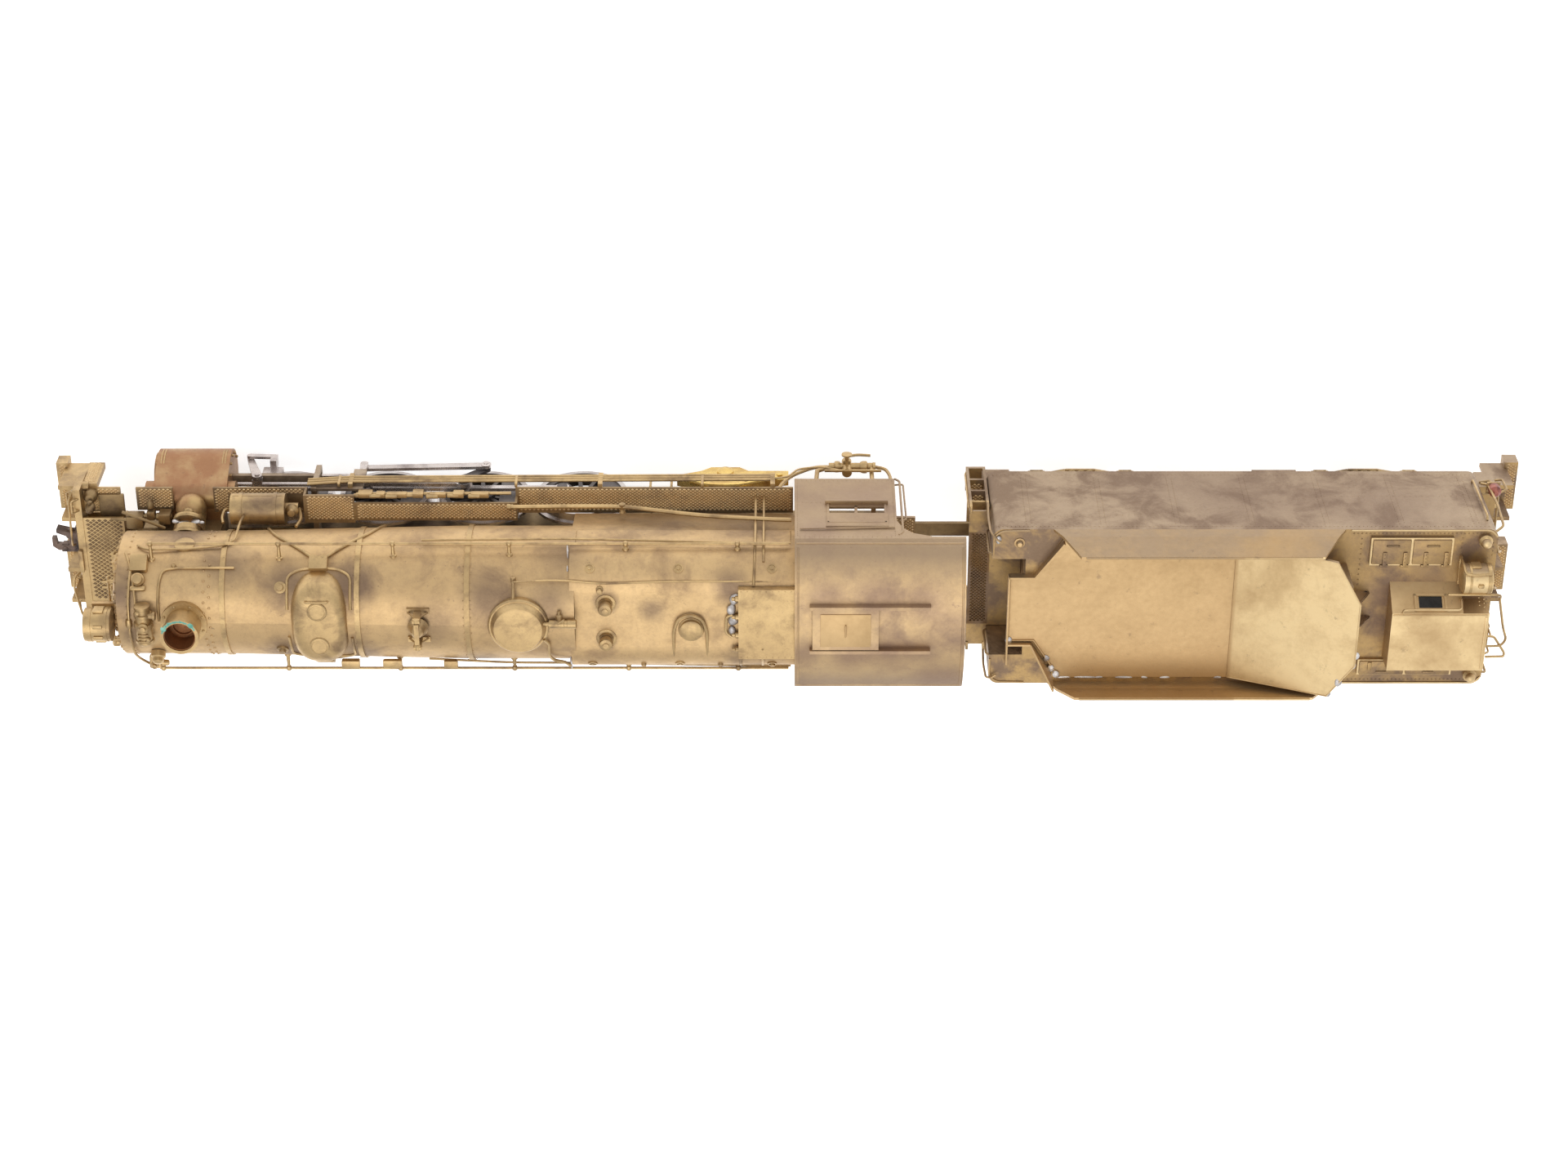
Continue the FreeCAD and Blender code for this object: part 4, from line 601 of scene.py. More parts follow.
# Castings along the smokebox: regulator, generator and the check valve.
b.block((136.6, -12.6, 43.6), (140.4, -9.8, 47.6), 0.5, Matrix.Rotation(math.radians(-38), 3, "X"))
b.lathe((138.4, -8.9, 48.2), Vector((0, -0.55, 0.83)), [(0, 1.4), (1.4, 1.4), (1.7, 1.1), (2.1, 1.0),
    (2.3, 0)], 14)
b.lathe((136.9, -7.6, 49.7), X, [(0, 0.5), (0.4, 0.7), (2.8, 0.7), (3.2, 0.5)], 12)
b.lathe((137.4, -5.3, 52.8), Y, [(0, 1.0), (0.2, 1.7), (0.8, 1.7), (0.9, 1.2), (1.9, 1.2), (2.0, 1.9),
    (2.6, 1.9), (2.8, 1.66), (4.2, 1.66), (4.3, 2.1), (5.2, 2.1), (5.4, 1.8), (8.2, 1.8), (8.4, 2.0),
    (9.0, 2.0), (9.4, 1.3), (9.8, 1.1), (9.9, 0)], 22)
b.lathe((137.4, -2.9, 53.4), -X, [(0, 0.7), (2.2, 0.7), (2.3, 1.0), (2.8, 1.0), (2.9, 0)], 12)
b.lathe((137.2, -0.6, 54.2), Z, [(0, 1.1), (0.6, 1.1), (0.9, 0.7), (1.4, 0.6), (1.5, 0)], 14)
b.lathe((138.2, -3.9, 53.4), Z, [(0, 0.6), (1.0, 0.6), (1.2, 0.35), (1.3, 0)], 10)
b.lathe((136.4, 2.4, 53.8), Z, [(0, 0.5), (0.9, 0.5), (1.1, 0.3), (1.2, 0)], 10)
for y in (1.2, 2.0, 2.8):
    b.block((136.3, y - 0.12, 54.2), (138.5, y + 0.12, 54.8), 0.05)
b.block((135.6, -3.0, 51.0), (139.2, 2.4, 51.7), 0.25)
b.lathe((135.9, 9.2, 48.0), Vector((0, 0.68, 0.73)), [(0, 1.6), (1.2, 1.6), (1.5, 1.2), (2.3, 1.2),
    (2.7, 0.8), (2.8, 0)], 16)
b.block((136.0, 11.6, 43.9), (138.6, 14.8, 46.5), 0.6, Matrix.Rotation(math.radians(20), 3, "X"))
b.lathe((134.4, 13.6, 45.4), X, [(0, 0.5), (0.4, 0.7), (2.0, 0.7)], 10)
b.lathe((137.3, 13.4, 46.2), Z, [(0, 0.9), (0.8, 0.9), (1.1, 0.6), (1.5, 0.5), (1.6, 0)], 12)
# Oval plate at the smokebox side and the L-shaped blower pipe beside the stack.
b.lathe(on_barrel(129.4, 80, -0.2), barrel_normal(80), [(0, 2.2), (0.35, 2.2), (0.5, 1.95), (0.5, 0)], 28)
b.tube([on_barrel(118.0, 52, 0.35), on_barrel(124, 52, 0.4), on_barrel(130.6, 52, 0.4),
        on_barrel(133.4, 50, 0.4), on_barrel(134.1, 38, 0.45), on_barrel(134.3, 20, 0.5),
        on_barrel(134.2, 3, 0.4)], 0.3, bend=1.8)
b.lathe(on_barrel(131.0, 54, -0.3), barrel_normal(50), [(0, 0.55), (0.9, 0.55), (1.2, 0.3), (1.25, 0)], 10)
# Stack bolts.
for i in range(8):
    a = 2 * math.pi * (i + 0.5) / 8
    b.lathe((STACK_X + 4.45 * math.cos(a), 4.45 * math.sin(a), 51.55), Z, [(0, 0.28), (0.55, 0.28),
        (0.68, 0.16), (0.7, 0)], 8)
# Wires that run back from the front casting.
b.tube([(139.4, -13.4, 41.2), (137.2, -13.3, 42.9), (128.0, -13.1, 42.2), (120.6, -13.6, 41.5),
        (118.6, -13.9, 39.5), (118.2, -15.2, 34.0), (118.0, -14.6, 30.2)], 0.28, bend=1.6)
b.tube([(141.8, -12.6, 43.0), (140.4, -11.4, 46.2), (139.4, -8.4, 49.8), (139.0, -4.6, 51.6),
        (138.9, -1.8, 52.2)], 0.26, bend=1.6)
b.done("smokebox_fittings", LOCO, "trim_brass")

b = Build()
# Machinery between the pilot deck and the smokebox side, and the shelf under the door.
for side in (-1, 1):
    b.block((134.9, side * 11.6 - 1.2, 23.4), (137.6, side * 11.6 + 1.2, 26.6), 0.3)
    b.block((138.4, side * 12.1 - 1.0, 23.8), (140.2, side * 12.1 + 1.0, 26.0), 0.3)
    b.block((140.9, side * 11.0 - 1.5, 23.8), (144.6, side * 11.0 + 1.5, 27.0), 0.35)
    b.lathe((134.6, side * 11.8, 25.4), X, [(0, 0.5), (0.4, 0.9), (3.4, 0.9), (3.8, 0.5), (6.8, 0.5)], 12)
    b.lathe((139.4, side * 13.6, 24.4), Y * side, [(0, 0.8), (1.2, 0.8), (1.6, 0.5), (2.0, 0.5), (2.1, 0)],
            12)
    b.tube(on(side, (145.4, 13.4, 26.2), (141.0, 12.2, 27.2), (136.0, 10.0, 27.4)), 0.36, bend=1.0)
    b.tube(on(side, (148.4, 10.8, 24.6), (145.2, 10.9, 25.2), (141.5, 11.0, 25.6)), 0.3)
    b.block((145.8, side * 12.2 - 2.9, 20.6), (151.4, side * 12.2 + 2.9, 21.5), 0.25)
    b.lathe((152.8, side * 13.3, 23.0), Z, [(0, 0.9), (0.5, 1.1), (1.5, 1.1), (1.9, 0.8), (2.4, 0.8),
        (2.9, 0.35), (3.0, 0)], 14)
    b.lathe((152.8, side * 14.4, 24.2), Y * side, [(0, 0.55), (0.5, 0.6), (0.7, 0.3), (0.75, 0)], 12)
    b.lathe((153.0, side * 15.0, 20.6), Z, [(0, 1.4), (0.4, 1.5), (1.8, 1.5), (2.6, 0.9), (2.8, 0)], 16)
b.done("front_machinery", LOCO, "trim_brass", "frame_dark")

b = Build()
# Pilot: beam rivets, deck slots, side step plates with rolled tops, cut lever, grab and air hose.
for side in (-1, 1):
    for i in range(13):
        for z in (23.2, 16.2):
            b.rivet((156.4, side * (4.4 + i * 1.05), z), X, 0.2, 0.12)
    b.tube(on(side, (156.2, 12.0, 21.0), (158.4, 12.0, 21.0), (158.4, 15.6, 21.0), (156.2, 15.6, 21.0)), 0.22,
           bend=0.7)
    b.tube(on(side, (155.4, 12.6, 24.0), (156.6, 12.6, 25.4), (156.6, 15.4, 25.4), (155.4, 15.4, 24.0)), 0.24,
           bend=0.5)
    b.tube(on(side, (156.2, 3.6, 14.6), (158.6, 4.4, 13.0), (159.8, 4.6, 9.6), (159.0, 4.7, 6.2)), 0.42,
           bend=1.4)
    b.lathe((153.4, side * 16.7, 20.3), X, [(0, 0.9), (0.1, 1.0), (1.6, 1.0), (1.8, 0.8)], 14)
    for z in (16.72, 17.98, 19.24):
        b.rivet((156.4, side * 6.2, z), X, 0.22)
b.tube([(156.9, 4.4, 20.4), (158.6, 5.2, 22.6), (158.9, 8.2, 22.6), (157.8, 14.8, 22.6), (157.6, 16.4, 20.8)],
       0.25, bend=0.8)
b.tube([(156.8, -16.2, 21.4), (158.0, -14.0, 22.0), (158.2, -4.6, 22.0), (158.8, -1.2, 19.6),
        (159.0, 0.2, 16.4)], 0.24, bend=1.0)
for y in (5.6, 7.0):
    b.block((149.6, y - 0.35, 23.75), (152.4, y + 0.35, 24.1), 0.1)
b.block((145.9, -1.8, 23.7), (148.9, 1.8, 24.7), 0.2)
b.lathe((145.6, 11.0, 40.6), X, [(0, 1.0), (0.4, 1.2), (1.4, 1.2), (1.7, 0.8), (1.8, 0)], 12)
b.block((155.6, -2.7, 24.0), (156.6, 2.7, 24.9), 0.2)
b.done("pilot_fittings", LOCO, "trim_brass")

b = Build()
# Headlight: the lens, then bands, brackets, vents, foot and lead on the drum.
b.lathe((148.5, 0, HEADLIGHT_Z), X, [(0, 2.95), (0.2, 3.05), (0.45, 2.6), (0.7, 1.6), (0.8, 0)], 30)
b.done("headlight_lens", LOCO, "trim_brass", "solder")
b = Build()
for x0, x1, r in ((148.4, 149.4, 3.74), (145.0, 145.5, 3.72)):
    b.lathe((x0, 0, HEADLIGHT_Z), X, [(0, 3.4), (0, r), (x1 - x0, r), (x1 - x0, 3.4)], 40)
for low, high in ((-3.9, -3.4), (3.4, 3.9)):
    b.block((145.8, low, 50.8), (148.0, high, 53.2), 0.12)
for y in (-1.3, 1.3):
    b.block((145.8, y - 0.35, 55.45), (147.8, y + 0.35, 55.75), 0.1)
b.block((145.0, -2.4, 48.25), (149.0, 2.4, 48.75), 0.1)
b.tube([(144.6, 1.9, 49.4), (142.6, 3.4, 50.2), (141.0, 4.4, 50.8)], 0.22, bend=1.0)
b.done("headlight_trim", LOCO, "trim_brass")

b = Build()
# Stack: copper bore and the green patina round its lip.
b.lathe((STACK_X, 0, 51.75), Z, [(0, 3.36), (5.45, 3.36), (5.45, 3.22), (0.3, 3.2), (0.3, 2.55), (0.75, 2.5),
    (0.75, 2.2), (0.25, 2.1), (0.25, 0.5), (0.6, 0.35), (0.6, 0)], 40)
b.done("stack_bore", LOCO, "trim_brass", "copper_bore")

b = Build()
lip = random.Random(3)
for i in range(26):
    a = math.radians(-150 + i * 5.4)
    swell = 0.75 + 0.55 * lip.random() + (0.6 if i in (3, 4, 22) else 0)
    b.blob((STACK_X + 3.78 * math.cos(a), 3.78 * math.sin(a), 57.42), (0.34 * swell, 0.3 * swell, 0.14),
           seed=i)
b.done("stack_patina", LOCO, "trim_brass", "patina")

# ---------------------------------------------------------------- domes and bell


def oval(z, hx, hy, count, power=2.7):
    """A ring between an ellipse and a rectangle, at one height of the sand dome."""
    ring = []
    for i in range(count):
        a = 2 * math.pi * i / count
        c, s = math.cos(a), math.sin(a)
        ring.append((SAND_DOME_X + hx * math.copysign(abs(c) ** (2 / power), c),
                     hy * math.copysign(abs(s) ** (2 / power), s), z))
    return ring


# Height and half sizes in X and Y, from the foot up.
LEVELS = ((44.5, 6.45, 10.5), (47.0, 6.4, 10.45), (49.5, 6.35, 10.2), (51.4, 6.15, 9.6), (52.7, 5.75, 8.7),
          (53.5, 5.1, 7.5), (53.95, 4.2, 6.1), (54.1, 2.6, 4.0))
RING = 56
b = Build()
verts = [p for z, hx, hy in LEVELS for p in oval(z, hx, hy, RING)]
last, top = len(verts) - RING, len(verts)
verts += [(SAND_DOME_X, 0, 54.12), (SAND_DOME_X, 0, LEVELS[0][0])]
faces = []
for start in range(0, last, RING):
    for i in range(RING):
        j = (i + 1) % RING
        faces.append([start + i, start + j, start + RING + j, start + RING + i])
for i in range(RING):
    j = (i + 1) % RING
    faces.append([last + i, last + j, top])
    faces.append([j, i, top + 1])
b.add(verts, faces)
for y in (-4.25, 4.25):
    b.lathe((SAND_DOME_X, y, 53.2), Z, [(0, 2.15), (1.05, 2.15), (1.2, 2.0), (1.25, 1.7), (1.15, 1.6),
        (1.15, 0)], 32)
b.done("sand_dome_cover", LOCO, "trim_brass", replaces=("sand_dome",))

b = Build()
# Rolled saddle round the foot of the sand dome, handle, valves and sand pipes.
for side in (-1, 1):
    foot = [on_barrel(93.0, side * t, 0.15) for t in (14, 30, 44)]
    back = [on_barrel(106.6, side * t, 0.15) for t in (44, 30, 14)]
    b.tube(foot + [on_barrel(95.4, side * 50, 0.15), on_barrel(SAND_DOME_X, side * 52, 0.15),
        on_barrel(104.2, side * 50, 0.15)] + back, 0.32, bend=2.0)
    valve, half = on_barrel(99.9, side * 55, 0.4), Vector((2.0, 1.6, 1.1))
    b.block(valve - half, valve + half, 0.3, Matrix.Rotation(math.radians(side * 55), 3, "X"))
    for x in (98.8, 101.0):
        b.lathe(on_barrel(x, side * 60, -0.2), barrel_normal(side * 60), [(0, 0.8), (1.0, 0.8), (1.3, 0.5),
            (1.7, 0.5), (1.8, 0)], 12)
    for x, reach in ((101.3, 1), (98.6, -1)):
        b.tube([on_barrel(x, side * 61, 0.5), on_barrel(x + reach * 2.0, side * 68, 0.35),
                on_barrel(x + reach * 5.0, side * 78, 0.3), on_barrel(x + reach * 8.4, side * 90, 0.3),
                on_barrel(x + reach * 10.4, side * 104, 0.3), on_barrel(x + reach * 11.4, side * 122, 0.3)],
               0.36, bend=2.6)
b.tube([(97.4, -6.6, 53.0), (97.4, -6.7, 54.5), (102.2, -6.7, 54.5), (102.2, -6.6, 53.0)], 0.2, bend=0.5)
for x, t in ((108.0, 34), (108.6, -34)):
    b.lathe(on_barrel(x, t, -0.2), barrel_normal(t), [(0, 1.3), (0.5, 1.3), (0.6, 0.8), (1.2, 0.7), (1.3, 0)],
            16)
b.block((71.16, 12.2, 46.1), (74.2, 14.2, 47.3), 0.3)
b.block((92.6, 12.4, 45.4), (96.6, 14.4, 46.9), 0.35)
b.block((83.4, 12.5, 45.4), (87.6, 14.4, 46.6), 0.35)
b.done("sand_gear", LOCO, "trim_brass")

b = Build()
# Steam dome ring, throttle lever and its long wire, whistle and the L pipe.
b.lathe((STEAM_DOME_X, 0, 52.35), Z, [(0, 6.3), (0, 6.62), (0.4, 6.62), (0.75, 6.3)], 48)
b.lathe((STEAM_DOME_X, 0, 54.3), Z, [(0, 5.3), (0.33, 5.05), (0.36, 4.6), (0.3, 0)], 48)
b.tube([(57.9, -5.6, 52.4), (57.9, -9.6, 51.2), (57.9, -9.9, 49.2)], 0.34, bend=0.4)
b.tube([(57.9, -9.9, 51.0), (48.2, -10.0, 50.2), (39.6, -9.2, 50.6), (24.0, -9.6, 50.2), (0.9, -9.4, 49.9)],
       0.2, bend=4.0)
b.lathe((57.9, -9.5, 50.0), -Y, [(0, 0.6), (1.0, 0.6), (1.2, 0.3)], 10)
b.lathe((44.4, -1.0, 53.6), X, [(0, 0.7), (0.2, 1.0), (2.0, 1.0), (2.2, 0.75), (2.5, 0.75), (2.7, 1.0),
    (3.3, 1.0), (3.5, 0.6), (5.2, 0.6), (7.2, 0.35), (7.8, 0.3)], 16)
b.lathe((48.2, -1.0, 53.0), -Y, [(0, 0.7), (1.7, 0.7), (2.0, 0.4), (2.8, 0.4), (2.9, 0)], 12)
b.tube([(48.4, -1.0, 53.8), (48.4, -1.8, 54.9), (47.0, -2.9, 55.0)], 0.2)
b.tube([(51.6, 3.0, 53.3), (50.6, 4.4, 52.6), (50.8, 8.4, 51.0), (50.0, 10.8, 49.0), (47.6, 11.6, 48.4),
        (46.6, 13.4, 47.0)], 0.34, bend=1.2)
b.lathe((39.5, -7.8, 50.0), Z, [(0, 0.8), (0.6, 0.8), (0.8, 0.5), (1.3, 0.5), (1.5, 0.7), (1.9, 0.6),
    (2.0, 0)], 12)
b.done("dome_gear", LOCO, "trim_brass")

b = Build()
# Safety valves, turret cap and its staple, plugs on the shoulders.
for y in (-4.3, 4.3):
    b.lathe((38.3, y, 50.4), Z, [(0, 2.3), (0.35, 2.2), (0.5, 1.75), (0.5, 1.25), (1.7, 1.2), (1.9, 1.5),
        (2.9, 1.55), (3.3, 1.35), (3.5, 0.7), (3.75, 0.65), (3.8, 0)], 20)
b.lathe((20.0, 2.0, 50.5), Z, [(0, 2.8), (0.35, 2.8), (0.5, 2.5), (1.1, 2.45), (1.3, 2.1), (1.32, 0)], 32)
b.tube([(16.6, 12.9, 46.6), (16.6, 9.6, 49.9), (16.6, 2.2, 51.3), (17.6, -1.0, 51.4), (20.2, -2.0, 51.4),
        (22.8, -1.0, 51.4), (23.8, 2.2, 51.3), (23.8, 9.6, 49.9), (23.8, 12.9, 46.6)], 0.36, bend=2.2)
for side, places, profile in ((-1, (41.3, 22.6, 3.0), [(0, 1.25), (0.4, 1.25), (0.5, 1.0), (0.42, 0.95),
        (0.42, 0.55), (0.75, 0.5), (0.8, 0)]), (1, (30.5, 13.8, 2.5), [(0, 1.2), (0.45, 1.2), (0.6, 0.6),
        (1.3, 0.55), (1.4, 0)])):
    out = Vector((0, side * 0.71, 0.71))
    for x in places:
        b.lathe(Vector((x, side * 11.85, 47.9)) - out * 0.3, out, profile, 22)
# Rods down the firebox side and pipes off the turret.
b.tube([(6.5, -8.8, 50.6), (6.4, -11.0, 49.6), (6.3, -14.0, 46.0), (6.2, -15.1, 42.0), (6.2, -15.3, 30.0),
        (6.2, -15.6, 22.9)], 0.3, bend=1.4)
b.tube([(4.4, -12.9, 47.6), (4.4, -14.7, 44.6), (4.4, -15.3, 36.0), (4.4, -15.6, 22.9)], 0.26, bend=1.4)
b.tube([(9.2, 3.4, 51.6), (9.4, 8.0, 51.0), (9.4, 11.4, 49.4), (9.4, 13.0, 47.0)], 0.36, bend=1.4)
b.tube([(4.6, 6.0, 52.0), (4.6, 9.6, 50.9), (4.6, 12.4, 48.0)], 0.36, bend=1.4)
for y in (-6.0, -1.5, 3.0, 6.6):
    b.lathe((9.6, y, 51.5), X, [(0, 0.7), (0.8, 0.7), (1.0, 0.45), (1.6, 0.45), (1.7, 0)], 12)
b.tube([(11.0, -2.0, 51.4), (12.4, -1.4, 51.2), (12.6, 2.6, 51.2), (11.2, 3.6, 51.4)], 0.3, bend=0.8)
for i in range(9):
    for y in (-8.2, 8.2):
        b.rivet((-1.6 + i * 1.35, y, 52.2), Z, 0.13, 0.08)
# Washout plugs on the firebox shoulder.
for x in (41.6, 22.6, 2.6):
    for side in (-1, 1):
        out = Vector((0, side * math.sin(math.radians(42)), math.cos(math.radians(42))))
        foot = Vector((x, side * 6.5, 42.6)) + out * 7.9
        b.lathe(foot, out, [(0, 1.05), (0.32, 1.05), (0.36, 0.75), (0.2, 0.7), (0.2, 0.4), (0.5, 0.36),
            (0.5, 0)], 20)
b.done("firebox_fittings", LOCO, "trim_brass")

b = Build()
# Bell stand caps and the bell's own rim and clapper.
for side in (-1, 1):
    b.lathe((BELL_X, side * 2.6, 56.0), Y * side, [(0, 0.5), (0.35, 0.9), (1.1, 0.9), (1.3, 0.5), (1.32, 0)],
            14)
    b.tube(on(side, (76.4, 3.2, 52.4), (78.2, 3.2, 55.0)), 0.22)
    b.tube(on(side, (80.6, 3.2, 52.4), (78.8, 3.2, 55.0)), 0.22)
b.lathe((BELL_X, 3.5, 54.2), Y, [(0, 0.6), (0.8, 0.8), (1.6, 0.6), (1.9, 0.3), (1.95, 0)], 12)
b.done("bell_stand_trim", LOCO, "trim_brass")
b = Build()
b.lathe((BELL_X, 0, 53.2), Z, [(0, 0), (0, 2.25), (0.25, 2.3), (0.55, 2.05), (1.2, 1.6), (2.0, 1.42),
    (2.7, 1.2), (3.2, 0.6), (3.5, 0)], 26)
b.done("bell_shell", "bell", "trim_brass")

# ---------------------------------------------------------------- handrails, pipes and wires

b = Build()
# Handrail posts, from inside the shell out past the rail.
for side in (-1, 1):
    for x in (136.0, 108.5, 84.0, 59.0, 34.0, 10.0):
        r = 14.5 if x < 46 else math.sqrt(max(1.0, barrel_radius(x) ** 2 - 6.3 ** 2))
        inner = r - 0.4
        b.lathe((x, side * inner, 44.4), Y * side, [(0, 0.75), (0.5, 0.75), (0.7, 0.45), (15.0 - inner, 0.32),
            (15.1 - inner, 0.5), (15.5 - inner, 0.62), (15.8 - inner, 0.62), (16.1 - inner, 0.4),
            (16.15 - inner, 0)], 14)
b.done("handrail_posts", LOCO, "trim_brass")

b = Build()
for side in (-1, 1):
    # Feed pipe below the handrail and the thick pipe over the board.
    b.tube(on(side, (78.0, 14.9, 41.6), (60.0, 15.5, 42.3), (45.4, 15.6, 42.2), (28.0, 15.5, 42.9),
              (12.0, 15.4, 43.6), (-1.5, 15.4, 43.8)), 0.26, bend=5.0)
    b.tube(on(side, (60.2, 15.4, 27.6), (48.0, 15.7, 27.8), (35.4, 15.8, 28.0), (18.0, 15.7, 32.0),
              (2.0, 15.6, 33.6), (-1.6, 15.6, 33.7)), 0.5, bend=4.0)
    b.lathe((35.4, side * 14.3, 28.0), Y * side, [(0, 0.7), (0.8, 0.5), (1.2, 0.75), (2.1, 0.75), (2.3, 0.4)],
            12)
    b.lathe((60.6, side * 15.4, 27.6), -X, [(0, 0.7), (0.7, 0.7), (0.9, 0.5)], 12)
b.done("boiler_pipes", LOCO, "trim_brass")

b = Build()
# Clips that hold the pipe bundle to the edge of the boards, on the right side; single pipe on the left.
for x in (98.0, 59.0, 18.0):
    b.block((x - 0.3, -18.4, 18.3), (x + 0.3, -17.45, 22.3), 0.1)
b.tube([(105.4, 17.8, 21.8), (96.0, 18.0, 20.8), (50.0, 18.0, 20.2), (-1.0, 18.0, 20.0)], 0.36, bend=3.0)
for x in (98.0, 73.0, 45.0, 18.0):
    b.block((x - 0.4, 17.3, 19.4), (x + 0.4, 18.5, 22.2), 0.15)
# Castings under the high board.
for side in (-1, 1):
    for x, w, h in ((92.0, 1.6, 2.2), (88.6, 1.0, 1.6), (85.0, 2.2, 1.3), (80.4, 1.2, 2.4), (76.0, 1.8, 1.2),
            (71.5, 1.2, 2.0), (66.8, 2.0, 1.4)):
        b.block((x - w, side * 16.7 - 0.6, 25.0 - h), (x + w, side * 16.7 + 0.6, 25.0), 0.25)
        b.lathe((x, side * 16.6, 25.6 - h * 0.5), X, [(0, 0.5), (2.4, 0.5), (2.6, 0.3)], 10)
    b.tube(on(side, (94.0, 16.7, 24.0), (60.0, 16.7, 23.6)), 0.4)
    # Air tank seams, pipes and pump.
    b.tube(on(side, (121.4, 14.2, 26.4), (122.6, 14.6, 27.2), (123.0, 13.6, 29.0), (122.6, 13.0, 30.4)), 0.32,
           bend=0.8)
    b.tube(on(side, (106.4, 14.2, 26.0), (105.8, 13.0, 28.4), (106.6, 12.6, 31.4)), 0.36, bend=1.0)
    b.lathe((107.9, side * 14.3, 26.6), Z, [(0, 1.4), (0.9, 1.5), (1.4, 0.9), (2.0, 0.8), (2.1, 0)], 14)
    b.lathe((121.1, side * 14.2, 26.2), X, [(0, 3.2), (0.3, 2.6), (0.5, 1.2), (0.5, 0)], 26)
b.block((109.8, -17.75, 25.7), (120.8, -17.55, 26.7), 0.08)
b.done("board_fittings", LOCO, "trim_brass")

b = Build()
# Steam pipe elbow: rounded cap with a bolted ring, both sides.
for side in (-1, 1):
    b.lathe((130.6, side * 13.4, 26.6), Vector((0, side * 0.5, 0.86)), [(0, 1.9), (0.5, 1.8), (0.9, 1.3),
        (1.1, 1.3), (1.7, 0.8), (1.8, 0)], 20)
    b.lathe((130.6, side * 12.6, 27.6), Vector((0, -side * 0.55, 0.83)), [(0, 3.2), (0.5, 3.35), (0.9, 3.2)],
            28)
    b.lathe((130.6, side * 11.2, 29.4), Vector((0, -side * 0.55, 0.83)),
            [(0, 2.8), (1.2, 2.9), (1.6, 3.4), (2.2, 3.3)], 26)
b.done("steam_pipe_trim", LOCO, "trim_brass")

b = Build()
# Cylinder head bolts and lagging strips.
for side in (-1, 1):
    for x, d in ((139.2, X), (123.0, -X)):
        # The rear head has none above or below the piston rod.
        b.bolts((x - 0.05 * d.x, side * CYLINDER_Y, CYLINDER_Z), d, 5.3, 12,
                [(0, 0.34), (0.4, 0.34), (0.5, 0.2), (0.5, 0)],
                keep=lambda a: d is X or abs(math.sin(a)) >= 0.35)
    b.lathe((139.15, side * CYLINDER_Y, CYLINDER_Z), X, [(0, 4.2), (0.4, 4.1), (0.6, 3.6), (0.65, 0)], 30)
    b.lathe((139.15, side * 13.6, 18.4), X, [(0, 2.8), (0.5, 2.7), (0.8, 1.8), (0.9, 0)], 22)
    arc = [math.radians(a) for a in range(-100, 101, 10)]
    for x in (124.0, 124.6, 137.6, 138.2):
        b.tube([(x, side * CYLINDER_Y + 6.2 * math.sin(a), CYLINDER_Z + 6.2 * math.cos(a)) for a in arc],
               0.16)
    b.rivets((125.6, side * 18.9, 14.9), (136.8, side * 18.9, 14.9), 13, Vector((0, side * 0.77, 0.63)), 0.13,
             0.08)
b.done("cylinder_trim", LOCO, "cylinder_copper", "trim_brass")

# ---------------------------------------------------------------- running gear

# Caps on the rods' pins. The right crank points forward at rest and the left one up.
for side, label in ((-1, "right"), (1, "left")):
    pin_x, pin_z = (MAIN_X + CRANK, DRIVER_Z) if side < 0 else (MAIN_X, DRIVER_Z + CRANK)
    b = Build()
    for wheel_x in DRIVER_X:
        if wheel_x != MAIN_X:
            b.lathe((pin_x - MAIN_X + wheel_x, side * 11.45, pin_z), Y * side, [(0, 1.25), (0.16, 1.25),
                (0.24, 1.1), (0.26, 0)], 20)
    b.done("side_rod_caps_" + label, "side_rod_" + label, "rod_nickel")
    b = Build()
    b.lathe((pin_x + MAIN_ROD * math.cos(math.asin((pin_z - DRIVER_Z) / MAIN_ROD)), side * 12.8, DRIVER_Z),
            Y * side, [(0, 0.62), (0.12, 0.62), (0.2, 0.4), (0.2, 0)], 14)
    b.done("main_rod_cap_" + label, "main_rod_" + label, "rod_nickel")
    eccentric_x, eccentric_z = (67.0, 5.9) if side < 0 else (72.15, 10.45)
    b = Build()
    b.lathe((eccentric_x, side * 14.45, eccentric_z), Y * side, [(0, 1.15), (0.2, 1.15), (0.35, 0.7),
        (0.6, 0.6), (0.65, 0)], 16)
    b.done("eccentric_rod_cap_" + label, "eccentric_rod_" + label, "rod_nickel")

b = Build()
# Wire bracket ahead of the trailing truck.
for side in (-1, 1):
    b.tube(on(side, (29.9, 12.0, 11.6), (29.9, 12.0, 8.9), (27.0, 12.0, 8.7), (25.2, 12.0, 8.8),
              (25.2, 12.0, 11.6)), 0.28, bend=0.4)
    b.tube(on(side, (29.9, 12.0, 11.5), (29.6, 10.0, 15.0), (29.4, 6.0, 17.0)), 0.3, bend=0.6)
    b.tube(on(side, (25.2, 12.0, 11.5), (26.0, 10.0, 15.0), (27.0, 6.0, 17.0)), 0.3, bend=0.6)
b.done("ashpan_bracket", LOCO, "trim_brass")

b = Build()
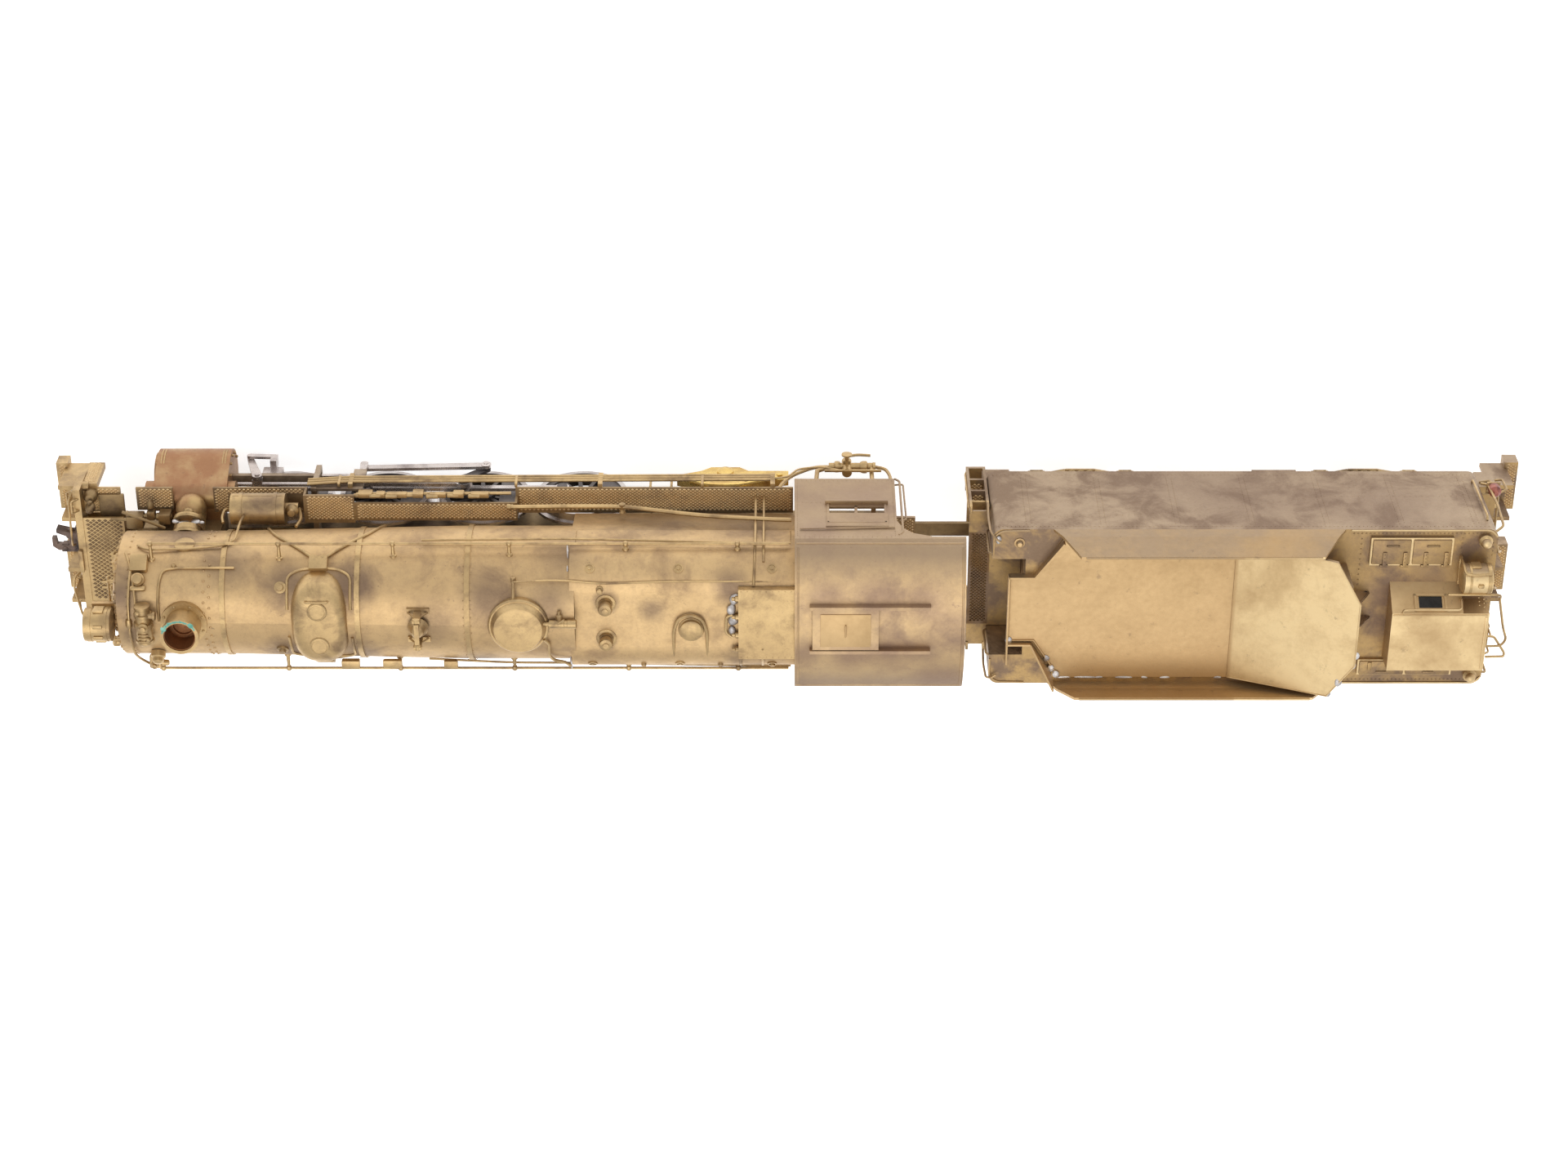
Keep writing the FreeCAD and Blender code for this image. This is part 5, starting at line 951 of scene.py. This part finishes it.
# Trailing truck: bolts, journal covers and the bar over them.
for side in (-1, 1):
    for x, z in ((1.0, 7.4), (6.2, 10.4), (20.6, 9.4), (22.6, 8.4)):
        b.lathe((x, side * 12.55, z), Y * side, [(0, 0.7), (0.4, 0.7), (0.6, 0.4), (0.62, 0)], 12)
    b.lathe((13.2, side * 12.5, 6.2), Y * side, [(0, 1.9), (0.6, 1.8), (1.0, 1.2), (1.1, 0)], 20)
    b.tube(on(side, (1.6, 12.9, 9.2), (6.0, 12.9, 11.0), (9.6, 12.9, 12.6), (13.4, 12.9, 12.9),
              (17.2, 12.9, 12.6), (21.0, 12.9, 10.6)), 0.5, bend=1.6)
b.done("trailing_truck_trim", "trailing_truck", "truck_brass")

# ---------------------------------------------------------------- cab

b = Build()
for side in (-1, 1):
    y = side * 18.5
    # Rivet rows: ends in X and Z, and how many.
    for (x0, z0), (x1, z1), rivets in (((-23.6, 21.2), (-3.0, 21.2), 22), ((-23.6, 31.2), (-3.0, 31.2), 22),
            ((-23.8, 22.6), (-23.8, 46.0), 26), ((-2.9, 22.6), (-2.9, 46.0), 26),
            ((-23.0, 46.6), (-3.4, 46.6), 20)):
        b.rivets((x0, y, z0), (x1, y, z1), rivets, Y * side, 0.12, 0.08)
    # Window frame, drip strip and sash rail: ends in X and Z, how far each face stands out, and the bevel.
    for (x0, z0), (x1, z1), inner, outer, bevel in (((-22.2, 32.1), (-21.7, 40.6), -0.1, 0.28, 0.08),
            ((-9.8, 32.1), (-9.3, 40.6), -0.1, 0.28, 0.08), ((-22.2, 40.0), (-9.3, 40.5), -0.1, 0.28, 0.08),
            ((-22.6, 31.5), (-8.9, 32.1), -0.2, 0.9, 0.15), ((-15.8, 36.2), (-9.4, 36.6), -0.7, -0.25, 0.08)):
        low, high = sorted((y + inner * side, y + outer * side))
        b.block((x0, low, z0), (x1, high, z1), bevel)
    # Awning hinge strip, gutter and the double wire over it.
    b.tube(on(side, (-22.6, 18.62, 42.1), (-9.0, 18.62, 42.1)), 0.24)
    b.tube(on(side, (-2.6, 17.75, 47.95), (-24.6, 17.75, 47.95), (-38.4, 17.75, 47.95)), 0.26)
    b.tube(on(side, (-3.4, 18.75, 43.4), (-8.0, 18.8, 43.3), (-23.8, 18.75, 42.7)), 0.17)
    # Rear handrails.
    b.tube(on(side, (-24.4, 18.5, 20.4), (-25.4, 18.5, 21.4), (-25.5, 18.5, 44.4), (-24.6, 18.4, 45.6)), 0.25,
           bend=0.7)
    b.tube(on(side, (-24.4, 17.2, 20.8), (-26.2, 17.6, 21.2), (-26.4, 17.8, 37.6), (-25.0, 17.9, 38.6)), 0.2,
           bend=0.7)
# Roof edge bead at the front and rear, along the arch.
CROWN_Z, EAVE_Z = 53.8, 48.6
rise = CROWN_Z - EAVE_Z
arch_r = (17.1 ** 2 + rise ** 2) / (2 * rise)
for x in (-3.0, -38.3):
    arc = []
    for k in range(-12, 13):
        y = 17.0 * k / 12
        arc.append((x, y, CROWN_Z - arch_r + math.sqrt(arch_r * arch_r - y * y) + 0.02))
    b.tube(arc, 0.22, bend=0.4)
b.done("cab_trim", LOCO, "cab_brass")

b = Build()
# Roof hatch: panel and handle.
b.block((-18.6, -4.0, 54.6), (-7.8, 4.0, 54.85), 0.12)
b.tube([(-13.2, -1.4, 54.7), (-13.2, -1.4, 55.2), (-13.2, 1.4, 55.2), (-13.2, 1.4, 54.7)], 0.16, bend=0.2)
b.done("roof_hatch_plate", "roof_hatch", "cab_brass", "bunker_brass")

b = Build()
# Injector valves and pipes under the cab on the right.
b.lathe((-17.0, -16.6, 11.2), -X, [(0, 1.2), (0.6, 1.4), (1.4, 1.4), (1.8, 0.8), (2.6, 0.8), (2.8, 1.1),
    (3.4, 1.1)], 16)
b.lathe((-12.6, -16.6, 11.0), X, [(0, 1.1), (0.5, 1.3), (1.2, 1.3), (1.6, 0.7), (2.4, 0.7)], 16)
b.lathe((-14.0, -17.4, 11.0), -Y, [(0, 0.9), (0.9, 0.9), (1.1, 0.5), (2.0, 0.5), (2.1, 1.2), (2.4, 1.2),
    (2.5, 0.4), (2.6, 0)], 16)
b.lathe((-14.0, -16.6, 7.6), Z, [(0, 0.5), (0.4, 0.9), (1.2, 0.9), (1.6, 0.6)], 14)
b.tube([(-14.0, -16.6, 8.0), (-14.2, -16.8, 6.4), (-16.4, -16.8, 5.6), (-19.4, -16.6, 5.6)], 0.34, bend=1.2)
b.tube([(-20.0, -16.6, 11.0), (-22.6, -16.4, 11.6), (-23.6, -16.4, 15.0), (-23.6, -16.6, 20.4)], 0.4,
       bend=1.6)
b.tube([(-10.4, -16.6, 11.0), (-6.8, -16.2, 10.4), (-2.0, -15.4, 12.6), (0.5, -15.0, 16.0),
        (2.0, -14.9, 21.6)], 0.4, bend=2.0)
b.tube([(-12.0, -17.4, 14.0), (-8.0, -17.9, 13.4), (-3.0, -17.9, 14.6), (-1.0, -17.9, 18.2),
        (2.0, -17.9, 19.0)], 0.24, bend=1.4)
b.block((-21.6, -17.8, 14.4), (-9.0, -17.3, 15.0), 0.12)
b.done("injector_fittings", LOCO, "trim_brass")

# ---------------------------------------------------------------- tender

b = Build()
# Rivets over the tank's sides, ends and deck.
for side in (-1, 1):
    n, y = Y * side, side * TANK_Y
    for z, r, height in ((43.4, 0.14, 0.09), (20.0, 0.13, 0.08)):
        b.rivets((-151.0, y, z), (-46.0, y, z), 118, n, r, height)
    for x in (-52.0, -68.0, -84.0, -100.0, -116.0, -132.0, -148.0):
        b.rivets((x, y, 21.4), (x, y, 42.2), 20, n, 0.12, 0.08)
        b.rivets((x - 1.1, y, 21.9), (x - 1.1, y, 41.7), 19, n, 0.12, 0.08)
    for i in range(46):
        t = i / 45
        b.rivet((-57.0 - 60 * t, y, 39.2 - 9.4 * t ** 1.8), n, 0.11, 0.07)
    b.rivets((-117.6, y, 29.8), (-146.5, y, 29.8), 24, n, 0.11, 0.07)
    b.rivets((-122.0, side * 18.3, DECK_Z), (-151.0, side * 18.3, DECK_Z), 34, Z, 0.2, 0.12)
for y in range(-16, 17):
    if not -13 < y < -5.5:
        b.rivet((-152.1, y, DECK_Z), Z, 0.18, 0.12)
for i in range(12):
    b.rivet((-123.8, -17.0 + i * 1.25, DECK_Z), Z, 0.19, 0.12)
    b.rivet((-123.8, 17.0 - i * 0.6, DECK_Z), Z, 0.19, 0.12)
for i in range(7):
    b.rivet((-145.4, -17.2 + i * 1.2, DECK_Z), Z, 0.19, 0.12)
for z in (20.2, 30.0, 43.4):
    b.rivets((TANK_REAR, -16.4, z), (TANK_REAR, 16.4, z), 38, -X, 0.12, 0.08)
for y in (-16.6, 0.0, 16.6):
    b.rivets((TANK_REAR, y, 21.4), (TANK_REAR, y, 42.4), 22, -X, 0.12, 0.08)
b.done("tank_rivets", TENDER, "tender_brass")

b = Build()
for side in (-1, 1):
    # Water leg tops, deck edge bead, boards' bead and front stanchions.
    b.tube(on(side, (-52.6, 19.0, 44.85), (-46.6, 18.9, 44.85), (-45.0, 17.4, 44.85), (-45.0, 13.0, 44.85)),
           0.22, bend=1.6)
    b.tube(on(side, (-121.4, 19.1, 44.85), (-151.4, 19.1, 44.85), (-152.7, 17.6, 44.85)), 0.24, bend=1.0)
    b.tube(on(side, (-64.0, 17.55, 54.3), (-114.0, 17.55, 54.3)), 0.24)
    b.tube(on(side, (-44.4, 18.3, 31.0), (-44.1, 18.4, 38.0), (-44.3, 18.2, 44.0), (-45.4, 17.4, 45.6),
              (-46.4, 16.6, 45.6)), 0.25, bend=1.0)
    b.tube(on(side, (-44.9, 12.6, 32.6), (-44.2, 12.6, 33.4), (-44.2, 12.6, 43.0), (-45.0, 12.6, 43.8)), 0.25,
           bend=0.5)
b.done("tank_edges", TENDER, "tender_brass", "bunker_brass")

b = Build()
# Cap on the right water leg.
b.lathe((-50.5, -16.0, 44.6), Z, [(0, 1.15), (0.3, 1.15), (0.4, 0.8), (0.9, 0.75), (1.2, 0.5), (1.25, 0)], 20)
# Folded walls of the coal tray at the front, and the solder seam strips.
b.tube([(x, y, 45.35) for x, y in ((-60.2, 17.3), (-54.3, 8.0), (-48.7, 8.0), (-48.7, -8.0), (-54.3, -8.0),
    (-60.2, -17.3))], 0.25)
b.block((-97.6, -17.2, 45.1), (-97.0, 17.2, 45.45), 0.12)
b.tube([(-97.2, -17.2, 45.6), (-117.4, -16.5, 54.7), (-122.4, -7.6, 56.9), (-122.4, 7.6, 56.9),
        (-117.4, 16.5, 54.7), (-97.2, 17.2, 45.6)], 0.14)
# Front sheet and the folded walls beside it.
b.block((-48.7, -8.4, DECK_Z), (-48.3, 13.6, 46.6), 0.1)
for corner, bend, end, end_rise in (((-48.5, 8.6), (-53.6, 8.6), (-58.4, 16.4), 8.4), ((-48.5, -8.2),
        (-54.0, -8.2), (-60.0, -16.9), 2.6)):
    for (x0, y0), (x1, y1), rise in ((corner, bend, 2.0), (bend, end, end_rise)):
        run = Vector((x1 - x0, y1 - y0, 0)).normalized()
        out = Vector((-run.y, run.x, 0)) * 0.2
        low_a, low_b = Vector((x0, y0, 44.6)), Vector((x1, y1, 44.6))
        face = [low_a, low_b, low_b + Z * rise, low_a + Z * 2.0]
        b.plate([p - out for p in face] + [p + out for p in face])
b.done("coal_tray_edges", TENDER, "bunker_brass")

b = Build()
# Water hatches: lids, handles and hinge straps.
for x0, x1 in ((-143.0, -134.8), (-134.3, -126.1)):
    b.block((x0, -17.2, 45.3), (x1, -11.3, 45.95), 0.4)
for x in (-142.0, -137.6, -133.2, -128.8):
    b.block((x - 0.45, -14.4, 45.85), (x + 0.45, -11.0, 46.3), 0.18)
    b.block((x - 0.9, -11.2, 45.2), (x + 0.9, -10.6, 46.0), 0.2)
    for y in (-13.9, -13.0, -12.1):
        b.rivet((x, y, 46.3), Z, 0.16, 0.12)
for x in (-139.0, -130.4):
    b.tube([(x - 1.3, -15.9, 45.9), (x - 1.3, -15.9, 46.35), (x + 1.3, -15.9, 46.35), (x + 1.3, -15.9, 45.9)],
           0.14, bend=0.2)
for x0, x1 in ((-145.6, -136.0), (-135.5, -125.8)):
    b.block((x0, 13.1, 45.3), (x1, 16.4, 45.9), 0.35)
for x in (-143.6, -138.2, -133.4, -128.0):
    b.block((x - 0.45, 13.2, 45.8), (x + 0.45, 15.2, 46.2), 0.16)
for x in (-140.9, -130.6):
    b.block((x - 1.2, 15.5, 45.8), (x + 1.2, 15.9, 46.15), 0.1)
b.done("hatch_lids", TENDER, "tender_brass")


def on_slope(x, t, lift=0.0):
    """A point on the housing's sloped face, t going up from its foot."""
    up = Vector((0, 4.4, 6.2)).normalized()
    return Vector((x, -6.4, DECK_Z)) + up * t + SLOPE_OUT.normalized() * lift


def slope_plate(b, x0, x1, t0, t1, lifts):
    """A plate parallel to the sloped face, between two lifts."""
    b.plate([on_slope(x, t, lift) for lift in lifts for x, t in ((x0, t0), (x1, t0), (x1, t1), (x0, t1))])


SLOPE_OUT = Vector((0, -6.2, 4.4))
b = Build()
# Filler housing: window frame, rails, seams and the rivets at its rear corner.
for x0, x1, t0, t1 in ((-142.6, -135.6, 3.0, 3.5), (-142.6, -135.6, 6.5, 7.0), (-142.6, -142.1, 3.0, 7.0),
        (-136.1, -135.6, 3.0, 7.0)):
    slope_plate(b, x0, x1, t0, t1, (-0.1, 0.3))
b.tube([on_slope(-133.0, 7.4), on_slope(-133.0, 7.3, 1.2), on_slope(-134.4, 7.3, 1.4),
        on_slope(-145.4, 7.3, 1.4), on_slope(-145.6, 4.6, 1.2), on_slope(-145.6, 4.2, 0.0)], 0.26, bend=0.9)
b.tube([(-131.0, -1.6, 51.0), (-151.3, -1.6, 51.0)], 0.16)
b.block((-151.3, -1.2, 50.75), (-150.8, 12.0, 51.05), 0.08)
for i in range(5):
    for x, foot in ((-149.6, 2.0), (-150.6, 2.4)):
        b.rivet(on_slope(x, foot + i * 0.9), SLOPE_OUT, 0.16, 0.1)
for i in range(10):
    for z in (50.2, 45.6):
        b.rivet((-151.6, 1.0 + i * 1.1, z), -X, 0.14, 0.09)
b.done("filler_trim", TENDER, "bunker_brass")

b = Build()
# Near-black plates that paint the shade inside the housing's window and two holes in the deck.
slope_plate(b, -142.2, -136.0, 3.4, 6.6, (-0.35, -0.12))
b.lathe((-125.7, -3.6, 44.55), Z, [(0, 0.5), (0.2, 0.5), (0.21, 0)], 12)
b.lathe((-126.6, 2.6, 44.55), Z, [(0, 0.45), (0.2, 0.45), (0.21, 0)], 12)
b.done("painted_shade_openings", TENDER, "tender_brass", "painted_shade_black")

b = Build()
# Bracket blades behind the slope sheet.
b.wedge([(-122.9, -4.4, DECK_Z), (-126.2, -3.8, DECK_Z), (-122.9, -3.8, 50.4), (-122.9, -4.0, DECK_Z),
         (-126.2, -3.4, DECK_Z), (-122.9, -3.4, 50.4)])
b.wedge([(-122.9, 1.6, DECK_Z), (-127.2, 2.2, DECK_Z), (-122.9, 2.0, 50.4), (-122.9, 2.0, DECK_Z),
         (-127.2, 2.6, DECK_Z), (-122.9, 2.4, 50.4)])
b.tube([(-123.4, -4.2, 50.6), (-125.8, -4.0, 46.4), (-126.4, -3.6, 44.9)], 0.22)
b.tube([(-123.4, 2.0, 50.6), (-125.4, 2.2, 47.4), (-125.6, 2.4, 44.9)], 0.22)
b.done("deck_brackets", TENDER, "tender_brass")

b = Build()
# Rear lamp: band, rings, lens and bracket.
for x0, x1 in ((-151.2, -150.4), (-147.0, -146.5)):
    b.lathe((x0, LAMP_Y, LAMP_Z), X, [(0, 3.1), (0, 3.42), (x1 - x0, 3.42), (x1 - x0, 3.1)], 36)
b.lathe((-145.4, LAMP_Y, LAMP_Z), X, [(0, 2.9), (0.3, 2.6), (0.6, 1.4), (0.65, 0)], 28)
for low, high in ((-12.9, -12.4), (-6.4, -5.9)):
    b.block((-149.0, low, 47.4), (-147.0, high, 49.8), 0.12)
b.block((-145.7, -13.0, DECK_Z), (-145.1, -6.2, 45.5), 0.15)
b.tube([(-145.3, -12.8, 45.2), (-145.3, -13.0, 49.0), (-145.3, -12.2, 51.6), (-147.4, -12.0, 51.8),
        (-151.0, -12.0, 51.4)], 0.3, bend=0.8)
b.block((-149.4, -9.8, 51.7), (-148.2, -9.0, 52.4), 0.15)
b.done("rear_lamp_trim", TENDER, "tender_brass", "trim_brass")

b = Build()
# Deck wires, rear grab loops, ladder, marker bracket and the coupler lever.
b.tube([(-142.4, -6.6, 50.4), (-142.4, -6.6, 50.7), (-151.4, -6.6, 50.7), (-153.6, -6.4, 50.5),
        (-154.0, -4.0, 48.6), (-156.2, 4.6, 45.6), (-157.4, 8.0, 44.9), (-156.4, 9.8, DECK_Z),
        (-153.2, 9.9, 44.6)], 0.28, bend=1.0)
b.tube([(-153.2, 7.6, 44.2), (-154.8, 7.6, 44.4), (-157.4, 11.6, 44.5), (-157.4, 12.6, 44.5),
        (-153.4, 12.8, 44.3)], 0.28, bend=0.6)
for side in (-1, 1):
    b.tube(on(side, (-152.9, 17.6, 42.6), (-154.6, 18.4, 41.6), (-154.9, 18.8, 33.0), (-154.6, 18.8, 23.6),
              (-153.2, 18.6, 22.6)), 0.28, bend=0.8)
    b.tube([(-151.0, side * TANK_Y, 23.4), (-151.0, side * 20.1, 23.8), (-151.2, side * 20.15, 40.0),
            (-151.2, side * TANK_Y, 40.6)], 0.25, bend=0.4)
    b.tube(on(side, (-157.0, 16.6, 17.6), (-158.8, 17.4, 18.6), (-158.8, 17.6, 23.6), (-156.8, 17.0, 24.4),
              (-153.4, 16.9, 24.2)), 0.26, bend=0.5)
    b.tube(on(side, (-157.0, 3.6, 16.0), (-159.2, 4.2, 14.4), (-160.2, 4.4, 10.4)), 0.4, bend=1.2)
    b.lathe((-160.2, side * 4.4, 10.6), -Z, [(0, 0.55), (1.2, 0.55), (1.4, 0.3)], 10)
for z in (25.0, 28.6, 32.2, 35.8, 39.4):
    b.tube([(TANK_REAR, 8.8, z), (-154.6, 8.8, z), (-154.6, 12.6, z), (TANK_REAR, 12.6, z)], 0.2, bend=0.2)
for y in (8.6, 12.8):
    b.tube([(-154.6, y, 23.4), (-154.6, y, 42.2), (-153.2, y, 43.2)], 0.24, bend=0.6)
b.tube([(-157.1, -16.6, 19.4), (-158.0, -14.0, 19.9), (-158.2, -4.4, 19.9), (-159.2, -1.6, 18.6),
        (-160.2, 1.6, 17.6), (-161.2, 2.4, 15.6)], 0.26, bend=0.8)
b.tube([(-157.0, 8.8, 20.0), (-159.6, 9.4, 20.2), (-160.4, 10.2, 18.6), (-159.8, 10.9, 17.4)], 0.3, bend=0.7)
for side in (-1, 1):
    for y in (4.2, 8.8, 13.4, 16.6):
        for z in (16.0, 21.0):
            b.rivet((-157.0, side * y, z), -X, 0.22, 0.14)
    b.block((-157.6, side * 12.4 - 0.6, 15.4), (-156.8, side * 12.4 + 0.6, 21.6), 0.15)
b.block((-157.8, -2.4, 15.6), (-156.8, 2.4, 21.4), 0.25)
b.block((-157.2, -19.6, 23.6), (-154.2, -17.0, 24.2), 0.15)
b.tube([(-155.6, -18.2, 24.0), (-155.6, -18.2, 20.6), (-153.4, -17.4, 20.0)], 0.3, bend=0.6)
b.done("rear_wires", TENDER, "tender_brass", "trim_brass")

b = Build()
# Red marker lamp.
b.lathe((-155.7, -18.4, 24.2), Z, [(0, 1.0), (0.3, 1.35), (2.0, 1.35), (2.4, 0.9), (2.8, 0.5), (3.2, 0.5),
    (3.3, 0)], 16)
b.done("rear_marker", TENDER, "tender_brass", "red_lens")

b = Build()
# Castings and wires of the front steps, and the foot of the rear knobs.
for side in (-1, 1):
    for x in (-44.4, -40.7):
        b.block((x - 0.3, side * 17.2 - 1.0, 29.6), (x + 0.3, side * 17.2 + 1.0, 32.4), 0.15)
    b.tube(on(side, (-40.2, 17.4, 31.4), (-40.2, 17.4, 16.0), (-40.9, 17.6, 14.2)), 0.24, bend=0.4)
    b.block((-45.2, side * 14.4 - 2.6, 27.4), (-40.0, side * 14.4 + 2.6, 28.0), 0.2)
    b.lathe((-150.2, side * 16.8, 45.7), Z, [(0, 1.5), (0.4, 1.25), (0.8, 0.8)], 20)
b.done("tender_step_trim", TENDER, "tender_brass", "trim_brass")

# Tender trucks: journal boxes with their lids, coil springs, bolster plates and the equaliser.
for label, x in (("front", -67.0), ("rear", -131.0)):
    b = Build()
    for side in (-1, 1):
        for end in (-10.0, 10.0):
            b.block((x + end - 1.5, side * 11.9 - 0.25, 3.9), (x + end + 1.5, side * 11.9 + 0.25, 7.3), 0.2)
            b.block((x + end - 1.7, side * 11.4 - 0.5, 7.4), (x + end + 1.7, side * 11.4 + 0.5, 8.0), 0.2)
            b.rivets((x + end - 1.0, side * 12.15, 4.4), (x + end + 1.0, side * 12.15, 4.4), 2, Y * side, 0.2)
        for k in (-2.0, 0.0, 2.0):
            coil = []
            for i in range(41):
                a = 2 * math.pi * i / 8
                coil.append((x + k + 0.75 * math.cos(a), side * 11.4 + 0.42 * math.sin(a),
                             3.4 + 3.6 * i / 40))
            b.tube(coil, 0.2, sides=6)
        b.block((x - 3.4, side * 11.3 - 0.3, 7.2), (x + 3.4, side * 11.3 + 0.3, 8.0), 0.15)
        b.block((x - 3.4, side * 11.3 - 0.4, 2.5), (x + 3.4, side * 11.3 + 0.4, 3.2), 0.15)
        b.tube([(x - 11.4, side * 11.3, 8.0), (x - 5.5, side * 11.3, 9.9), (x + 5.5, side * 11.3, 9.9),
                (x + 11.4, side * 11.3, 8.0)], 0.3, bend=1.2)
    b.done("truck_trim_" + label, "tender_truck_" + label, "truck_brass", "tender_truck_" + label)

# ---------------------------------------------------------------- coupler, solder

b = Build()
for z, d in ((15.4, Z), (13.0, -Z)):
    b.lathe((161.6, 1.9, z), d, [(0, 0.6), (0.25, 0.6), (0.4, 0.35), (0.42, 0)], 12)
b.blob((160.4, -1.4, 14.2), (1.3, 1.1, 1.2), seed=5)
b.block((155.2, -1.5, 15.1), (158.8, 1.5, 15.7), 0.3)
b.tube([(159.4, -1.2, 12.9), (159.6, -1.4, 11.0), (159.2, -1.6, 9.4)], 0.35, bend=0.5)
b.done("coupler_trim", "coupler", "coupler_iron")

b = Build()
# Solder at the steam pipes, the turret, the air tank and the firebox's front edge.
for i, (x, side, r) in enumerate(((128.6, -1, 0.9), (131.2, -1, 1.0), (133.0, -1, 0.7), (127.4, -1, 0.6),
        (129.4, 1, 0.8), (132.2, 1, 0.8))):
    b.blob((x, side * 12.9, 29.6 + 0.5 * (i % 2)), (r * 1.2, 0.4, r * 0.8), seed=20 + i)
for i, (centre, size) in enumerate((((10.6, -5.4, 50.9), (1.1, 1.2, 0.7)),
        ((11.4, -3.2, 50.9), (0.9, 1.4, 0.8)), ((10.8, -0.6, 50.9), (1.2, 1.3, 0.8)),
        ((11.2, 2.0, 50.8), (0.8, 1.1, 0.6)))):
    b.blob(centre, size, 31 + i)
for i, (x, y) in enumerate(((120.9, -15.6), (121.2, -12.8), (118.4, -11.2), (114.2, -11.0), (110.4, -11.4))):
    b.blob((x, y, 23.0 + (i % 3) * 0.4), (0.9, 0.7, 0.6), 40 + i)
for i in range(9):
    y = -13.9 + i * 3.45
    b.blob((46.4, y, 37 + 14.2 * math.cos(y / 14.6)), (0.22, 1.7, 0.2), 50 + i)
b.done("solder_locomotive", LOCO, "trim_brass", "solder")

b = Build()
# Solder along the left coal board and at the corners of the tray and slope sheet.
for i, (x, length) in enumerate(((-61, 1.6), (-66, 2.6), (-69, 0.8), (-74.5, 1.9), (-79, 0.7), (-83.5, 1.2),
        (-95, 0.9))):
    b.blob((x, 17.5, 45.2), (length, 0.3, 0.22), 60 + i)
for i, p in enumerate(((-58.4, 15.0, 45.4), (-59.6, 16.6, 45.6), (-57.2, 12.6, 45.3), (-49.0, 8.0, 45.3),
        (-122.2, 7.8, 56.2), (-119.6, 12.6, 55.4), (-117.8, 16.2, 54.0), (-122.8, 5.2, 56.4),
        (-46.0, -17.0, 45.3), (-146.2, -5.6, 45.1), (-146.4, -7.2, 45.0), (-155.8, -17.2, 22.6))):
    b.blob(p, (0.7, 0.9, 0.35), 80 + i)
b.done("solder_tender", TENDER, "bunker_brass", "solder")

# ---------------------------------------------------------------- floor, lights, camera

mesh = bpy.data.meshes.new("floor")
mesh.from_pydata([(-3, -3, 0), (3, -3, 0), (3, 3, 0), (-3, 3, 0)], [], [(0, 1, 2, 3)])
floor = bpy.data.objects.new("floor", mesh)
bpy.context.scene.collection.objects.link(floor)
paint = bpy.data.materials.new("floor_paint")
paint.use_nodes = True
# The slight glow hides the shadow, as on the photograph's white ground.
for key, value in (("Base Color", (0.93, 0.93, 0.93, 1)), ("Roughness", 0.9),
        ("Emission Color", (1, 1, 1, 1)), ("Emission Strength", 0.62)):
    paint.node_tree.nodes["Principled BSDF"].inputs[key].default_value = value
mesh.materials.append(paint)
floor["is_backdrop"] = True

world = bpy.data.worlds.new("studio")
bpy.context.scene.world = world
world.use_nodes = True
world.node_tree.nodes["Background"].inputs[0].default_value = (1.0, 1.0, 1.0, 1)
world.node_tree.nodes["Background"].inputs[1].default_value = 0.8


def softbox(name, place, target, size, power, tint=(1, 1, 1)):
    data = bpy.data.lights.new(name, "AREA")
    data.shape = "RECTANGLE"
    data.size, data.size_y = size
    data.energy = power
    data.color = tint
    lamp = bpy.data.objects.new(name, data)
    bpy.context.scene.collection.objects.link(lamp)
    lamp.location = place
    lamp.rotation_euler = (Vector(target) - Vector(place)).to_track_quat("-Z", "Y").to_euler()


softbox("key", (0.1, 0.15, 0.95), (0, 0, 0.02), (1.1, 0.65), 3.8, (1.0, 0.99, 0.97))
softbox("fill", (-0.25, -0.8, 0.55), (0, 0, 0.02), (0.7, 0.5), 1.0)

data = bpy.data.cameras.new("camera")
data.lens = 74.06
data.sensor_width = 36.0
camera = bpy.data.objects.new("camera", data)
bpy.context.scene.collection.objects.link(camera)
# The camera looks down from the right, turned over so that the front is at the left of the picture.
ELEVATION = math.radians(60)
EYE_Y, EYE_Z = -0.353245, 0.648218
camera.matrix_world = Matrix(((-1, 0, 0, 0), (0, -math.sin(ELEVATION), -math.cos(ELEVATION), EYE_Y), (0,
    -math.cos(ELEVATION), math.sin(ELEVATION), EYE_Z), (0, 0, 0, 1)))
bpy.context.scene.camera = camera
bpy.context.scene.view_settings.view_transform = "Standard"

low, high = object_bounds()
